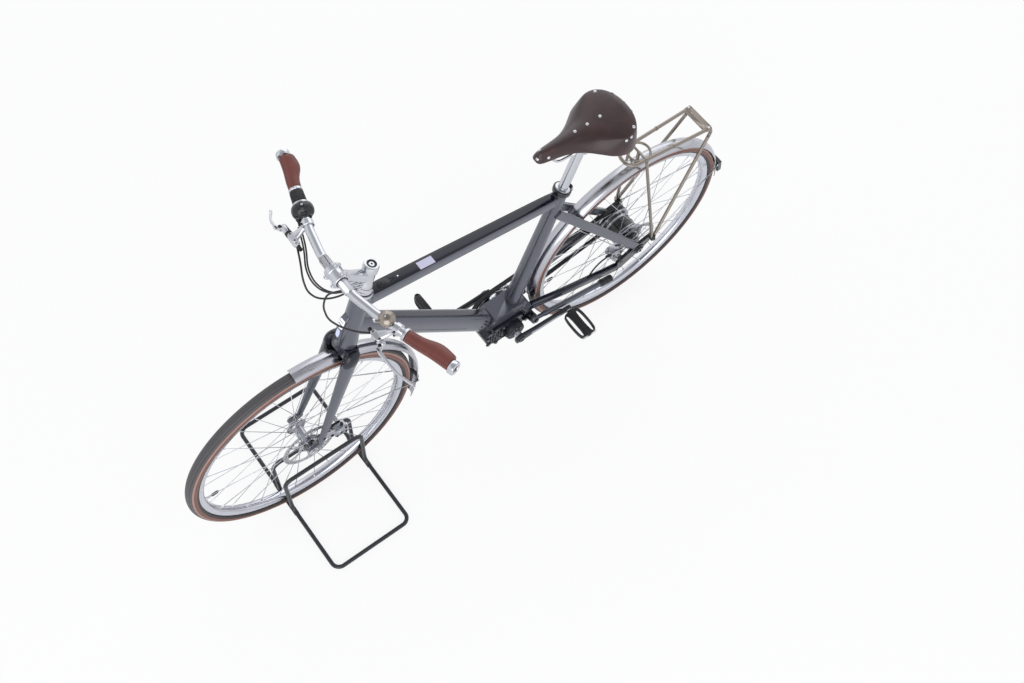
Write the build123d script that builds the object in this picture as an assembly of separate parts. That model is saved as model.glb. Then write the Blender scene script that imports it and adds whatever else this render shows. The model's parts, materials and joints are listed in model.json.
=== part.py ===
from build123d import *
import os
from math import acos, atan2, cos, degrees, radians, sin, sqrt, tan

# Electric city bicycle with a belt drive, a rear rack and a leather saddle, held in a wire floor stand.
# Millimetres. +X is forward, +Y is the rider's left and +Z is up, with the floor at Z = 0.
# The origin is on the floor, under the middle of the overall box.

# ---- stance ----
WHEELBASE = 1110.0
TYRE_R = 346.0
TYRE_W = 38.0
TYRE_SEAT = 30.0            # the tyre's height above the rim's edge
TAIL_REACH = TYRE_R + 20.0    # rear axle to the back of the tail lamp
HEAD_ANGLE = 71.0           # steering axis, degrees above the floor
FORK_OFFSET = 47.0          # front axle ahead of the steering axis
RUNNING_GAP = 0.05          # radial gap of a shaft in its bearing
SEAT_GAP = 0.3              # gap between pieces that rest on each other

# ---- wheels ----
RIM_R = TYRE_R - TYRE_SEAT
RIM_DEPTH = 19.0
RIM_W = 26.0
SPOKE_R = 1.0
SPOKES_PER_SIDE = 16
SPOKE_LEAD = 2.0            # extra offset of the outer spokes, which lean in past the flange edge
FLANGE_T = 3.0
DISC_R = 80.0
DISC_T = 1.8
DISC_BAND = 14.0
AXLE_R = 5.0
FRONT_FLANGE_R = 29.0
REAR_FLANGE_R = 52.0
FRONT_LOCK_Y = 47.0         # inner face of the fork ends
FRONT_END_T = 9.0
FRONT_DISC_Y = 35.0
REAR_LOCK_Y = 67.0          # inner face of the rear dropouts
REAR_END_T = 10.0
REAR_DISC_Y = 49.0

# ---- brake bodies, placed ahead of and above their axles ----
FRONT_CALIPER_PLACE = (-88.0, 8.0)
FRONT_CALIPER_SIZE = (46.0, 42.0)
FRONT_CALIPER_ARM = (-28.0, 34.0)
REAR_CALIPER_PLACE = (80.0, 34.0)
REAR_CALIPER_SIZE = (48.0, 34.0)
REAR_CALIPER_ARM = (56.0, -12.0)
CALIPER_ARM_R = 12.0
CALIPER_WALL = 5.0
CALIPER_SLOT_GAP = 2.0      # each side of the disc
CALIPER_EDGE_GAP = 6.0      # beyond the disc's rim

# ---- mudguards ----
MUDGUARD_R = TYRE_R + 7.0     # the rear blade's outside, round its axle
FRONT_GUARD_R = TYRE_R + 11.5 # the front blade's outside, round its own centre
FRONT_GUARD_TRAIL = 14.5    # that centre behind the axle, square to the steering axis
MUDGUARD_T = 1.5
MUDGUARD_W = 42.0
MUDGUARD_CROWN = 11.0       # rise of the blade's arched section
FRONT_GUARD_FROM = 90.0     # degrees round each blade's centre, from ahead over the top
FRONT_GUARD_TO = 203.0
REAR_GUARD_FROM = -2.0
REAR_GUARD_TO = 176.0
STAY_WIRE_R = 1.8
FRONT_STAY_ANGLE = 190.0
FRONT_STAY_RISE = 150.0     # of the front wires' eyelets on the fork blades, along the steering axis
REAR_STAY_ANGLE = 166.0
GUARD_SPACER_R = 6.0        # between the rear blade and the seat tube

# ---- drive ----
CRANK_X = TYRE_R + 92.0       # crank axle ahead of the rear axle
CRANK_Z = 288.0
CRANK_LENGTH = 170.0
CRANK_TILT = 2.5            # degrees, left arm below level at rest
CRANK_T = 13.0
CRANK_Y = 80.0              # inner face of each crank
SPINDLE_R = 12.0
PEDAL_PIN_R = 4.5
PEDAL_W = 92.0
PEDAL_DEPTH = 58.0
PEDAL_T = 16.0
PEDAL_SLOT_W = 12.0
PEDAL_SLOT_PLACE = 19.0     # each slot's middle, from the pedal's pin
PEDAL_ROUNDING = 12.0
PEDAL_GAP = 7.0
BELT_Y = -52.0
BELT_W = 12.0
BELT_T = 4.0
BELT_GAP = 0.4
FRONT_SPROCKET_R = 72.0
REAR_SPROCKET_R = 48.0
SPROCKET_T = 5.0
MOTOR_HALF = 40.0           # half the width of the case
MOTOR_LEFT = 64.0           # outer face of the left nose round the crank's shaft
MOTOR_RIGHT = 44.0
MOTOR_NOSE_R = 30.0
MOTOR_ROUND_R = 47.0
MOTOR_FRONT = 94.0          # reach ahead of the crank axle
MOTOR_DROP = 46.0
MOTOR_TOP = 36.0
BRACKET_H = 42.0
BRACKET_HALF = 31.0
YOKE_HALF = 44.5

# ---- frame ----
HEAD_LENGTH = 200.0
HEAD_R = 24.5
HEAD_FLARE_R = 27.5
STEERER_R = 14.3
CROWN_H = 32.0
CROWN_HALF = 52.0
CROWN_DEPTH = 44.0
RACE_GAP = 0.6
SEAT_COLLAR_X = TYRE_R - 74.0 # top of the seat tube, from the rear axle
SEAT_COLLAR_Z = 792.0
SEAT_FOOT_X = TYRE_R + 73.0
SEAT_TUBE_W = 50.0
SEAT_TUBE_D = 34.0
SEAT_TUBE_TOP = 38.0
COLLAR_WALL = 5.5
SEATPOST_R = 13.6
SEATPOST_TOP_Z = 944.0
TOP_TUBE_W = 38.0
TOP_TUBE_H = 40.0
TOP_TUBE_TAPER = 0.84
TOP_TUBE_DROP_FRONT = 38.0  # below the head tube's top, along the steering axis
TOP_TUBE_DROP_REAR = 30.0   # below the seat collar, along the seat tube
DOWN_TUBE_W = 52.0
DOWN_TUBE_H = 62.0
DOWN_TUBE_RISE = 75.0       # above the head tube's foot, along the steering axis
CHAINSTAY_W = 17.0
CHAINSTAY_H = 29.0
SEATSTAY_W = 14.0
SEATSTAY_D = 26.0
SEATSTAY_TOP_DROP = 76.0

# ---- steering parts ----
BLADE_TOP = (44.0, 30.0)
BLADE_FOOT = (19.0, 12.0)
BLADE_TOP_Y = 41.0
BLADE_TOP_AHEAD = 8.0
BLADE_FOOT_AHEAD = 27.0
STEM_R = 18.0
STEM_H = 72.0
SPACER_H = 18.0
CAP_H = 6.0
BAR_RISE = 8.0              # bar centre above the top of the stem's clamp
BAR_REACH = 98.0
BAR_R = 11.1
BAR_MID_R = BAR_R + 1.6
BAR_MID_HALF = 78.0
BAR_ROUTE = [(0, 0, 0), (0, 62, 1), (-14, 130, 3), (-77, 347, 8)]
BAR_END_T = 14.0
SHIFTER_LEAD_R = 5.0
GRIP_R = 15.5
GRIP_FLARE = 21.0
LEFT_GRIP_LENGTH = 118.0
RIGHT_GRIP_LENGTH = 92.0
LAMP_HALF = 13.0            # half the width of the lamp on the head tube's front
LAMP_FOOT = 5.5             # above the head tube's foot, clear of the crown
LAMP_HEIGHT = 118.0
LAMP_AHEAD = 38.0           # its front face, ahead of the steering axis

# ---- saddle ----
SADDLE_Z = 1022.0
SADDLE_WALL = 6.0
SADDLE_CROWN = 16.0         # height of the sloped edge
SADDLE_EDGE = 15.0          # how far that edge is drawn in at the widest place
SADDLE_NOSE_SHARE = 0.35    # the part of that which the narrow nose takes
SADDLE_HEM = [(80, 949), (140, 952), (257, 982), (390, 998)]
RAIL_R = 3.5
RAIL_Z = 958.0
SADDLE_OUTLINE = [(378, 0), (376, 9), (368, 16), (345, 20), (310, 24), (280, 32), (250, 47), (222, 68),
                  (195, 87), (165, 95), (138, 91), (116, 76), (102, 52), (94, 26), (91, 0)]

# ---- rack ----
RACK_R = 5.0
RACK_HALF = 43.0
RACK_FRONT_HALF = 29.0
RACK_FRONT = (62.0, 2 * TYRE_R + 54.0)
RACK_BACK = (-228.0, 2 * TYRE_R + 30.0)
RACK_RING_R = 31.0
RACK_TURN = 34.0            # how far the rails run on past the rear bend
RACK_PLATE_T = 4.0
RACK_PLATE_W = 26.0
RACK_HOLE_R = 2.6
RACK_HOLE_SPACING = 50.0
STRUT_R = 4.5
STRUT_FOOT = (-44.0, TYRE_R + 29.0)

# ---- stands ----
KICK_PIVOT = (CRANK_X - 68.0, CRANK_Z + 4.0)
KICK_FOOT_STOWED = (82.0, 68.0, 249.0)
KICK_FOOT_DOWN_Y = 132.0
KICK_FOOT_DOWN_Z = 16.0
KICK_PIVOT_Y = 62.0
KICK_LEG_R = 8.5
KICK_NECK_R = 6.8
KICK_NECK = 34.0
KICK_FOOT_R = 11.5
KICK_BOSS_R = 14.0
KICK_BOSS_W = 14.0
KICK_PIN_R = 5.0
KICK_SIDE_GAP = 1.5
WIRE_R = 6.0
STAND_BACK = 153.0          # floor loops behind the front axle
STAND_FRONT = 98.0
STAND_HALF = 263.0
STAND_SLOT = 31.5
STAND_HEIGHT = 195.0
STAND_BEND = 24.0
STAND_LINK_T = 6.0
STAND_LINK_W = 14.0
STAND_LINK_LAP = 25.0       # how far each link runs out under the floor wires

# ---- cables ----
HOSE_R = 2.4
CABLE_R = 2.1

# ---- frames of reference worked out from the sizes above ----
REAR_X = -(WHEELBASE + TYRE_R - TAIL_REACH) / 2
FRONT_X = REAR_X + WHEELBASE
REAR_AXLE = Vector(REAR_X, 0, TYRE_R)
FRONT_AXLE = Vector(FRONT_X, 0, TYRE_R)
CRANK_AXLE = Vector(REAR_X + CRANK_X, 0, CRANK_Z)
UP_STEER = Vector(-cos(radians(HEAD_ANGLE)), 0, sin(radians(HEAD_ANGLE)))
AHEAD_STEER = Vector(sin(radians(HEAD_ANGLE)), 0, cos(radians(HEAD_ANGLE)))
STEER_BASE = FRONT_AXLE - AHEAD_STEER * FORK_OFFSET
LEFT = Vector(0, 1, 0)
RIM_INNER_R = RIM_R - RIM_DEPTH

FRONT_GUARD_CENTRE = FRONT_AXLE - AHEAD_STEER * FRONT_GUARD_TRAIL
CROWN_EDGE = FORK_OFFSET - FRONT_GUARD_TRAIL - CROWN_DEPTH / 2
CROWN_S = sqrt((FRONT_GUARD_R + SEAT_GAP) ** 2 - CROWN_EDGE ** 2)
HEAD_S = CROWN_S + CROWN_H + RACE_GAP
HEAD_TOP_S = HEAD_S + HEAD_LENGTH
STEM_S = HEAD_TOP_S + RACE_GAP
CLAMP_S = STEM_S + SPACER_H
CLAMP_TOP_S = CLAMP_S + STEM_H


def at(x, y, z):
    """A point measured forward from the rear axle."""
    return Vector(REAR_X + x, y, z)


def steer(along, ahead=0.0, side=0.0):
    """A point given along, ahead of and beside the steering axis."""
    return STEER_BASE + UP_STEER * along + AHEAD_STEER * ahead + LEFT * side


def rod(start, end, radius):
    return Solid.make_cylinder(radius, (end - start).length, Plane(start, z_dir=end - start))


def turned(outline, origin, axis, arc=360.0, start=None):
    """Revolve an outline of (radius, distance along the axis) pairs."""
    section = Plane.XZ * Polygon(*outline, align=None)
    return seat_turned(section, origin, axis, arc, start)


def seat_turned(section, origin, axis, arc=360.0, start=None):
    plane = Plane(origin, x_dir=start, z_dir=axis)
    return plane * revolve(section, Axis.Z, revolution_arc=arc)


def thicken(face, low_y, high_y):
    """Give a face in the plane of travel its thickness, between two sides."""
    return Pos(0, (low_y + high_y) / 2, 0) * extrude(face, (high_y - low_y) / 2, both=True)


def slab(outline, low_y, high_y):
    """A plate with an (x, z) outline, between two sides."""
    return thicken(Plane.XZ * Polygon(*outline, align=None), low_y, high_y)


def link(first, first_r, second, second_r, low_y, high_y):
    """A flat arm: the hull of two discs."""
    discs = ((first, first_r), (second, second_r))
    ends = [Pos(place.X, place.Z) * Edge.make_circle(size) for place, size in discs]
    return thicken(Plane.XZ * make_hull(ends), low_y, high_y)


def bent_rod(points, radius, bends):
    path = FilletPolyline(*points, radius=bends)
    return sweep(Plane(path @ 0, z_dir=path % 0) * Circle(radius), path)


def cable_bends(points):
    """The largest bend that each corner of a cable leaves room for."""
    bends = []
    for before, corner, after in zip(points, points[1:], points[2:]):
        run_in, run_out = corner - before, after - corner
        turn = radians(run_in.get_angle(run_out))
        bends.append(0.45 * min(run_in.length, run_out.length) / tan(turn / 2))
    return bends


def cable(name, points, radius):
    bends = cable_bends(points)
    print(name, "bend radii", [round(bend) for bend in bends])
    return bent_rod(points, radius, bends)


def blend_tube(start, end, start_size, end_size, rounding, across=LEFT):
    """A tube whose rounded section changes evenly from one end to the other."""
    run = end - start
    sections = []
    for place, (wide, deep) in ((start, start_size), (end, end_size)):
        plane = Plane(place, x_dir=across, z_dir=run)
        sections.append(plane * RectangleRounded(wide, deep, min(rounding, wide / 2.05, deep / 2.05)))
    return loft(sections)


def mirrored(shape):
    return mirror(shape, about=Plane.XZ)


def largest(shape):
    """Keep the tube itself and drop the crumbs that a cut leaves past its joint."""
    return shape.solids().sort_by(SortBy.VOLUME)[-1]


def pair(shape):
    return Compound([*shape.solids(), *mirrored(shape).solids()])


# ---- wheels ----
def tyre(axle):
    section = Pos(TYRE_R - TYRE_W / 2, 0) * Circle(TYRE_W / 2)
    section -= Pos(RIM_R / 2, 0) * Rectangle(RIM_R, TYRE_W)
    return seat_turned(Plane.XZ * section, axle, LEFT)


def rim(axle):
    half, well = RIM_W / 2, RIM_W / 4
    shoulder = RIM_R - RIM_DEPTH * 0.65
    outline = [(RIM_R, -half), (RIM_R, half), (shoulder, half), (RIM_INNER_R, well),
               (RIM_INNER_R, -well), (shoulder, -half)]
    return turned(outline, axle, LEFT)


def spokes(axle, flange_r, left_y, right_y, lace):
    """Tangent spokes: on each flange they lean forward and back in turn."""
    hole_r = flange_r - 4.0
    step = 360.0 / SPOKES_PER_SIDE
    wires = []
    for side_y, phase in ((left_y, 0.0), (right_y, step / 2)):
        outward = 1 if side_y > 0 else -1
        for index in range(SPOKES_PER_SIDE):
            rim_angle = radians(index * step + phase)
            lean = 1 if index % 2 else -1
            hub_angle = rim_angle + lean * radians(lace)
            beside = FLANGE_T / 2 + SPOKE_R + (SPOKE_LEAD if lean > 0 else 0.2)
            hole_y = side_y + outward * lean * beside
            start = axle + Vector(cos(hub_angle) * hole_r, hole_y, sin(hub_angle) * hole_r)
            reach = RIM_INNER_R - SEAT_GAP
            end = axle + Vector(cos(rim_angle) * reach, outward * RIM_W / 8, sin(rim_angle) * reach)
            wires.append(rod(start, end, SPOKE_R))
    return Compound(wires)


def brake_disc(axle, face_y, hub_r):
    """A brake rotor: an outer band on six arms round a bolted centre."""
    middle = axle + LEFT * (face_y + DISC_T / 2)
    plane = Plane(middle, z_dir=LEFT)
    disc = Circle(DISC_R) - Circle(DISC_R - DISC_BAND)
    disc += Circle(26) - Circle(hub_r)
    arm_length = DISC_R - DISC_BAND - 22
    arms = PolarLocations(22 + arm_length / 2, 6) * Rectangle(arm_length + 4, 8)
    disc = disc + arms
    return plane * extrude(disc, DISC_T / 2, both=True)


def front_hub():
    bore = AXLE_R + RUNNING_GAP
    flange = FRONT_FLANGE_R
    outline = [(bore, -40), (9, -40), (9, -31.5), (flange, -31.5), (flange, -28.5), (15, -28.5),
               (15, 22.5), (flange, 22.5), (flange, 25.5), (18, 25.5), (18, FRONT_DISC_Y),
               (9, FRONT_DISC_Y), (9, 42), (bore, 42)]
    return turned(outline, FRONT_AXLE, LEFT)


def rear_hub():
    bore = AXLE_R + RUNNING_GAP
    flange = REAR_FLANGE_R
    seat = BELT_Y - SPROCKET_T / 2
    outline = [(bore, -60), (20, -60), (20, seat + SPROCKET_T), (34, seat + SPROCKET_T), (36, -38),
               (flange, -38), (flange, -35), (44, -35), (44, 25), (flange, 25), (flange, 28), (26, 28),
               (26, REAR_DISC_Y), (10, REAR_DISC_Y), (10, 60), (bore, 60)]
    return turned(outline, REAR_AXLE, LEFT)


def axle_pin(axle, lock_y, end_t):
    """A fixed axle: spacers inside the frame ends and nuts outside them."""
    outer = lock_y + end_t
    half = [(AXLE_R, lock_y - 4), (8.5, lock_y - 4), (8.5, lock_y), (AXLE_R, lock_y), (AXLE_R, outer),
            (8, outer), (8, outer + 7), (0, outer + 7)]
    other = [(radius, -along) for radius, along in reversed(half)]
    return turned(other + half, axle, LEFT)


def rear_mudguard():
    """The rear blade with the spacer that bolts it to the seat tube."""
    blade = mudguard(REAR_AXLE, MUDGUARD_R, REAR_GUARD_FROM, REAR_GUARD_TO)
    nearest = SEAT_FOOT + SEAT_UP * (REAR_AXLE - SEAT_FOOT).dot(SEAT_UP)
    inner = REAR_AXLE + (nearest - REAR_AXLE).normalized() * (MUDGUARD_R - MUDGUARD_T / 2)
    spacer = rod(inner, nearest, GUARD_SPACER_R)
    return blade + (spacer - seat_tube_outer())


def mudguard(centre, radius, start, end):
    """A thin arched blade bent round the wheel between two angles."""
    half = MUDGUARD_W / 2
    arch_r = (half ** 2 + MUDGUARD_CROWN ** 2) / (2 * MUDGUARD_CROWN)
    section = Circle(arch_r) - Circle(arch_r - MUDGUARD_T)
    section &= Pos(arch_r - MUDGUARD_CROWN / 2, 0) * Rectangle(MUDGUARD_CROWN, MUDGUARD_W + 2)
    first = Vector(cos(radians(start)), 0, sin(radians(start)))
    return seat_turned(Plane.XZ * (Pos(radius - arch_r, 0) * section), centre, -LEFT, end - start, first)


def guard_edge(centre, radius, angle):
    """The top of a stay wire, beside the blade's left edge."""
    edge_r = radius - MUDGUARD_CROWN + 3
    side = MUDGUARD_W / 2 + STAY_WIRE_R + SEAT_GAP
    return centre + Vector(cos(radians(angle)) * edge_r, side, sin(radians(angle)) * edge_r)


def front_guard_stays():
    """One wire each side, from the blade's edge to an eyelet partway up the fork."""
    share = FRONT_STAY_RISE / CROWN_S
    middle_y = blade_foot().Y + (BLADE_TOP_Y - blade_foot().Y) * share
    half_wide = (BLADE_FOOT[1] + (BLADE_TOP[1] - BLADE_FOOT[1]) * share) / 2
    foot = steer(FRONT_STAY_RISE, 8, middle_y + half_wide + STAY_WIRE_R + SEAT_GAP)
    wire = rod(guard_edge(FRONT_GUARD_CENTRE, FRONT_GUARD_R, FRONT_STAY_ANGLE), foot, STAY_WIRE_R)
    return pair(wire)


def rear_guard_stays():
    """One wire each side, from the blade's edge to the outside of the dropout's ear."""
    outer = REAR_LOCK_Y + REAR_END_T + SEAT_GAP
    foot = at(STRUT_FOOT[0], outer + STAY_WIRE_R, STRUT_FOOT[1] - 10)
    wire = rod(guard_edge(REAR_AXLE, MUDGUARD_R, REAR_STAY_ANGLE), foot, STAY_WIRE_R)
    return pair(largest(wire - slab(dropout_outline(), REAR_LOCK_Y - 10, outer)))


# ---- drive ----
def drive_belt():
    rings = []
    for extra in (BELT_GAP, BELT_GAP + BELT_T):
        front = Pos(CRANK_AXLE.X, CRANK_AXLE.Z) * Edge.make_circle(FRONT_SPROCKET_R + extra)
        rear = Pos(REAR_AXLE.X, REAR_AXLE.Z) * Edge.make_circle(REAR_SPROCKET_R + extra)
        rings.append(make_hull([front, rear]))
    return thicken(Plane.XZ * (rings[1] - rings[0]), BELT_Y - BELT_W / 2, BELT_Y + BELT_W / 2)


def sprocket(axle, radius, bore, windows, window_r, window_place):
    plane = Plane(axle + LEFT * BELT_Y, z_dir=LEFT)
    disc = Circle(radius) - Circle(bore)
    if windows:
        disc -= PolarLocations(window_place, windows) * Circle(window_r)
    return plane * extrude(disc, SPROCKET_T / 2, both=True)


def motor_outline():
    """The side view of the drive unit, as one flat face on the frame's middle plane."""
    x, z = CRANK_AXLE.X, CRANK_AXLE.Z
    front, top, low = x + MOTOR_FRONT, z + MOTOR_TOP, z - MOTOR_DROP
    corners = [(x - 40, top), (front - 16, top), (front, top - 20), (front - 8, low + 24), (front - 40, low),
               (x - 18, low + 8)]
    return Plane.XZ * (Polygon(*corners, align=None) + Pos(x, z) * Circle(MOTOR_ROUND_R))


def drive_unit():
    body = thicken(motor_outline(), -MOTOR_HALF, MOTOR_HALF)
    body += rod(CRANK_AXLE - LEFT * MOTOR_RIGHT, CRANK_AXLE + LEFT * MOTOR_LEFT, MOTOR_NOSE_R)
    top_cut = Pos(CRANK_AXLE.X, 0, CRANK_AXLE.Z + MOTOR_TOP + 50) * Box(400, 400, 100)
    bore = rod(CRANK_AXLE - LEFT * 90, CRANK_AXLE + LEFT * 90, SPINDLE_R + RUNNING_GAP)
    return body - top_cut - bore


def motor_bracket():
    """The welded cradle that joins the seat tube, the down tube and the chainstays over the drive unit."""
    x, z = CRANK_AXLE.X, CRANK_AXLE.Z + MOTOR_TOP
    outline = [(x - 66, z - 30), (x - 41, z - 30), (x - 41, z), (x + MOTOR_FRONT - 18, z),
               (x + MOTOR_FRONT - 10, z + 14), (x + 52, z + BRACKET_H), (x - 48, z + BRACKET_H),
               (x - 66, z + BRACKET_H - 16)]
    shell = slab(outline, -BRACKET_HALF, BRACKET_HALF)
    yoke = slab([(x - 66, z - 8), (x - 44, z - 8), (x - 44, z + 28), (x - 66, z + 28)], -YOKE_HALF, YOKE_HALF)
    return shell + yoke - drive_unit()


def crank_eye(side):
    """Where a pedal's pin crosses the middle plane: the left arm points back and a little down."""
    reach = Vector(cos(radians(CRANK_TILT)), 0, sin(radians(CRANK_TILT))) * CRANK_LENGTH
    return CRANK_AXLE - reach * side


def crankset():
    spindle = rod(CRANK_AXLE - LEFT * CRANK_Y, CRANK_AXLE + LEFT * CRANK_Y, SPINDLE_R)
    left_eye, right_eye = crank_eye(1), crank_eye(-1)
    outer = CRANK_Y + CRANK_T
    tip = outer + PEDAL_GAP + PEDAL_W
    left_arm = link(CRANK_AXLE, 18, left_eye, 13, CRANK_Y, outer)
    right_arm = link(CRANK_AXLE, 18, right_eye, 13, -outer, -CRANK_Y)
    left_pin = rod(left_eye + LEFT * outer, left_eye + LEFT * (tip - 4), PEDAL_PIN_R)
    right_pin = rod(right_eye - LEFT * outer, right_eye - LEFT * (tip - 4), PEDAL_PIN_R)
    return spindle + left_arm + right_arm + left_pin + right_pin


def pedal(side, upright):
    """A cage pedal with a broad middle bar; upright turns it edge up."""
    low = CRANK_Y + CRANK_T + PEDAL_GAP
    outline = RectangleRounded(PEDAL_DEPTH, PEDAL_W, PEDAL_ROUNDING)
    slot = RectangleRounded(PEDAL_SLOT_W, PEDAL_W - 14, 5)
    for place in (-PEDAL_SLOT_PLACE, PEDAL_SLOT_PLACE):
        outline -= Pos(place, 0) * slot
    cage = extrude(outline, PEDAL_T / 2, both=True)
    cage -= rod(Vector(0, -PEDAL_W, 0), Vector(0, PEDAL_W, 0), PEDAL_PIN_R + RUNNING_GAP)
    if upright:
        cage = Rot(0, 90, 0) * cage
    return Pos(*(crank_eye(side) + LEFT * (side * (low + PEDAL_W / 2)))) * cage


# ---- frame ----
SEAT_TOP = at(SEAT_COLLAR_X, 0, SEAT_COLLAR_Z)
SEAT_FOOT = at(SEAT_FOOT_X, 0, CRANK_Z + MOTOR_TOP + 6)
SEAT_UP = (SEAT_TOP - SEAT_FOOT).normalized()


def head_tube():
    bore = STEERER_R + RUNNING_GAP
    end = HEAD_LENGTH
    outline = [(bore, 0), (HEAD_FLARE_R, 0), (HEAD_FLARE_R, 18), (HEAD_R, 46), (HEAD_R, end), (bore, end),
               (bore, end - 12), (20, end - 12), (20, 12), (bore, 12)]
    return turned(outline, steer(HEAD_S), UP_STEER)


def head_envelope():
    top = HEAD_LENGTH + 20
    outline = [(0, -20), (HEAD_FLARE_R, -20), (HEAD_FLARE_R, 18), (HEAD_R, 46), (HEAD_R, top), (0, top)]
    return turned(outline, steer(HEAD_S), UP_STEER)


def seat_tube_outer():
    top = SEAT_TUBE_TOP
    return blend_tube(SEAT_FOOT - SEAT_UP * 30, SEAT_TOP, (SEAT_TUBE_W, SEAT_TUBE_D), (top, top), 18)


def seat_tube():
    bore = rod(SEAT_TOP - SEAT_UP * 230, SEAT_TOP + SEAT_UP, SEATPOST_R + 0.1)
    return seat_tube_outer() - bore - motor_bracket() - drive_unit()


def top_tube():
    front = steer(HEAD_TOP_S - TOP_TUBE_DROP_FRONT)
    rear = SEAT_TOP - SEAT_UP * TOP_TUBE_DROP_REAR
    small = (TOP_TUBE_W * TOP_TUBE_TAPER, TOP_TUBE_H * TOP_TUBE_TAPER)
    tube = blend_tube(rear, front, small, (TOP_TUBE_W, TOP_TUBE_H), 9)
    return tube - head_envelope() - seat_tube_outer()


def down_tube():
    front = steer(HEAD_S + DOWN_TUBE_RISE)
    rear = CRANK_AXLE + Vector(MOTOR_FRONT - 34, 0, MOTOR_TOP + 6)
    size = (DOWN_TUBE_W, DOWN_TUBE_H)
    tube = blend_tube(rear, front, size, (DOWN_TUBE_W * 0.92, DOWN_TUBE_H * 0.92), 20)
    low_cut = slab([(rear.X - 120, rear.Z - 120), (rear.X + 60, rear.Z - 120), (rear.X + 60, rear.Z - 6),
                    (rear.X - 120, rear.Z - 6)], -60, 60)
    return largest(tube - head_envelope() - motor_bracket() - low_cut - top_tube())


def chainstay():
    foot = at(70, REAR_LOCK_Y + 6, TYRE_R - 32)
    middle = at(250, 52, TYRE_R - 22)
    front = CRANK_AXLE + Vector(-60, YOKE_HALF - CHAINSTAY_W / 2, MOTOR_TOP + 11)
    path = FilletPolyline(foot, middle, front, radius=260)
    section = Plane(path @ 0, x_dir=Vector(0, 0, 1).cross(path % 0), z_dir=path % 0)
    stay = sweep(section * RectangleRounded(CHAINSTAY_W, CHAINSTAY_H, 7), path)
    return stay - motor_bracket() - slab(dropout_outline(), 30, 120)


def dropout_outline():
    x, z = REAR_AXLE.X, REAR_AXLE.Z
    foot_x, foot_z = REAR_X + STRUT_FOOT[0], STRUT_FOOT[1]
    return [(x - 15, z - 10), (foot_x - 6, foot_z - 8), (foot_x - 6, foot_z + 6), (foot_x + 6, foot_z + 8),
            (x + 16, z + 24), (x + 78, z - 8), (x + 84, z - 44), (x + 60, z - 46), (x + 8, z - 20)]


def dropout():
    """The forged rear end: it carries the axle and joins both stays."""
    plate = slab(dropout_outline(), REAR_LOCK_Y, REAR_LOCK_Y + REAR_END_T)
    return plate - rod(REAR_AXLE, REAR_AXLE + LEFT * 120, AXLE_R)


def seatstay():
    top = SEAT_TOP - SEAT_UP * SEATSTAY_TOP_DROP + LEFT * (SEAT_TUBE_TOP / 2)
    foot = at(2, REAR_LOCK_Y + REAR_END_T / 2, TYRE_R + 10)
    stay = blend_tube(foot, top, (SEATSTAY_W, SEATSTAY_D), (SEATSTAY_W, SEATSTAY_D), 5)
    return stay - slab(dropout_outline(), 30, 120) - seat_tube_outer()


def seat_collar():
    bore = SEATPOST_R + 0.1
    inner = SEAT_TUBE_TOP / 2 + 0.5
    outer = inner + COLLAR_WALL
    outline = [(inner, -9), (outer - 1, -9), (outer, -7), (outer, 4), (outer - 2, 6), (bore, 6), (bore, 0),
               (inner, 0)]
    return turned(outline, SEAT_TOP, SEAT_UP)


def seatpost():
    run = (SEATPOST_TOP_Z - SEAT_TOP.Z) / SEAT_UP.Z
    return rod(SEAT_TOP - SEAT_UP * 120, SEAT_TOP + SEAT_UP * run, SEATPOST_R)


def post_top():
    return SEAT_TOP + SEAT_UP * ((SEATPOST_TOP_Z - SEAT_TOP.Z) / SEAT_UP.Z)


def saddle_side(y, inset):
    """A side's distance from the middle, drawn in by the inset at the widest place and less at the nose."""
    widest = max(side for _, side in SADDLE_OUTLINE)
    share = SADDLE_NOSE_SHARE + (1 - SADDLE_NOSE_SHARE) * y / widest
    return max(y - inset * share, 0)


def saddle_half(inset):
    """The left half of the saddle's plan outline, drawn in by an inset."""
    nose_x, tail_x = SADDLE_OUTLINE[0][0], SADDLE_OUTLINE[-1][0]
    middle, half_length = (nose_x + tail_x) / 2, (nose_x - tail_x) / 2
    shrink = 1 - inset / half_length
    points = [at(middle + (x - middle) * shrink, saddle_side(y, inset), 0) for x, y in SADDLE_OUTLINE]
    return make_face([Spline(*points), Line(points[-1], points[0])])


def saddle_layer(low, high, low_inset, high_inset):
    """One layer of the saddle, drawn in evenly from its lower to its upper outline."""
    half = loft([Pos(0, 0, low) * saddle_half(low_inset), Pos(0, 0, high) * saddle_half(high_inset)])
    return half + mirrored(half)


def saddle():
    """A leather shell, open below: a top with a sloped edge, and a skirt that is deepest at the back."""
    low = min(z for _, z in SADDLE_HEM)
    skirt = saddle_layer(low, SADDLE_Z - SADDLE_CROWN, 0, 0)
    crown = saddle_layer(SADDLE_Z - SADDLE_CROWN, SADDLE_Z, 0, SADDLE_EDGE)
    inner = saddle_layer(low - 1, SADDLE_Z - SADDLE_CROWN, SADDLE_WALL, SADDLE_WALL)
    hem = [(REAR_X + x, z) for x, z in SADDLE_HEM]
    below = slab([(hem[0][0], low - 10), *hem, (hem[-1][0], low - 10)], -120, 120)
    return skirt + crown - inner - below


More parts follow.
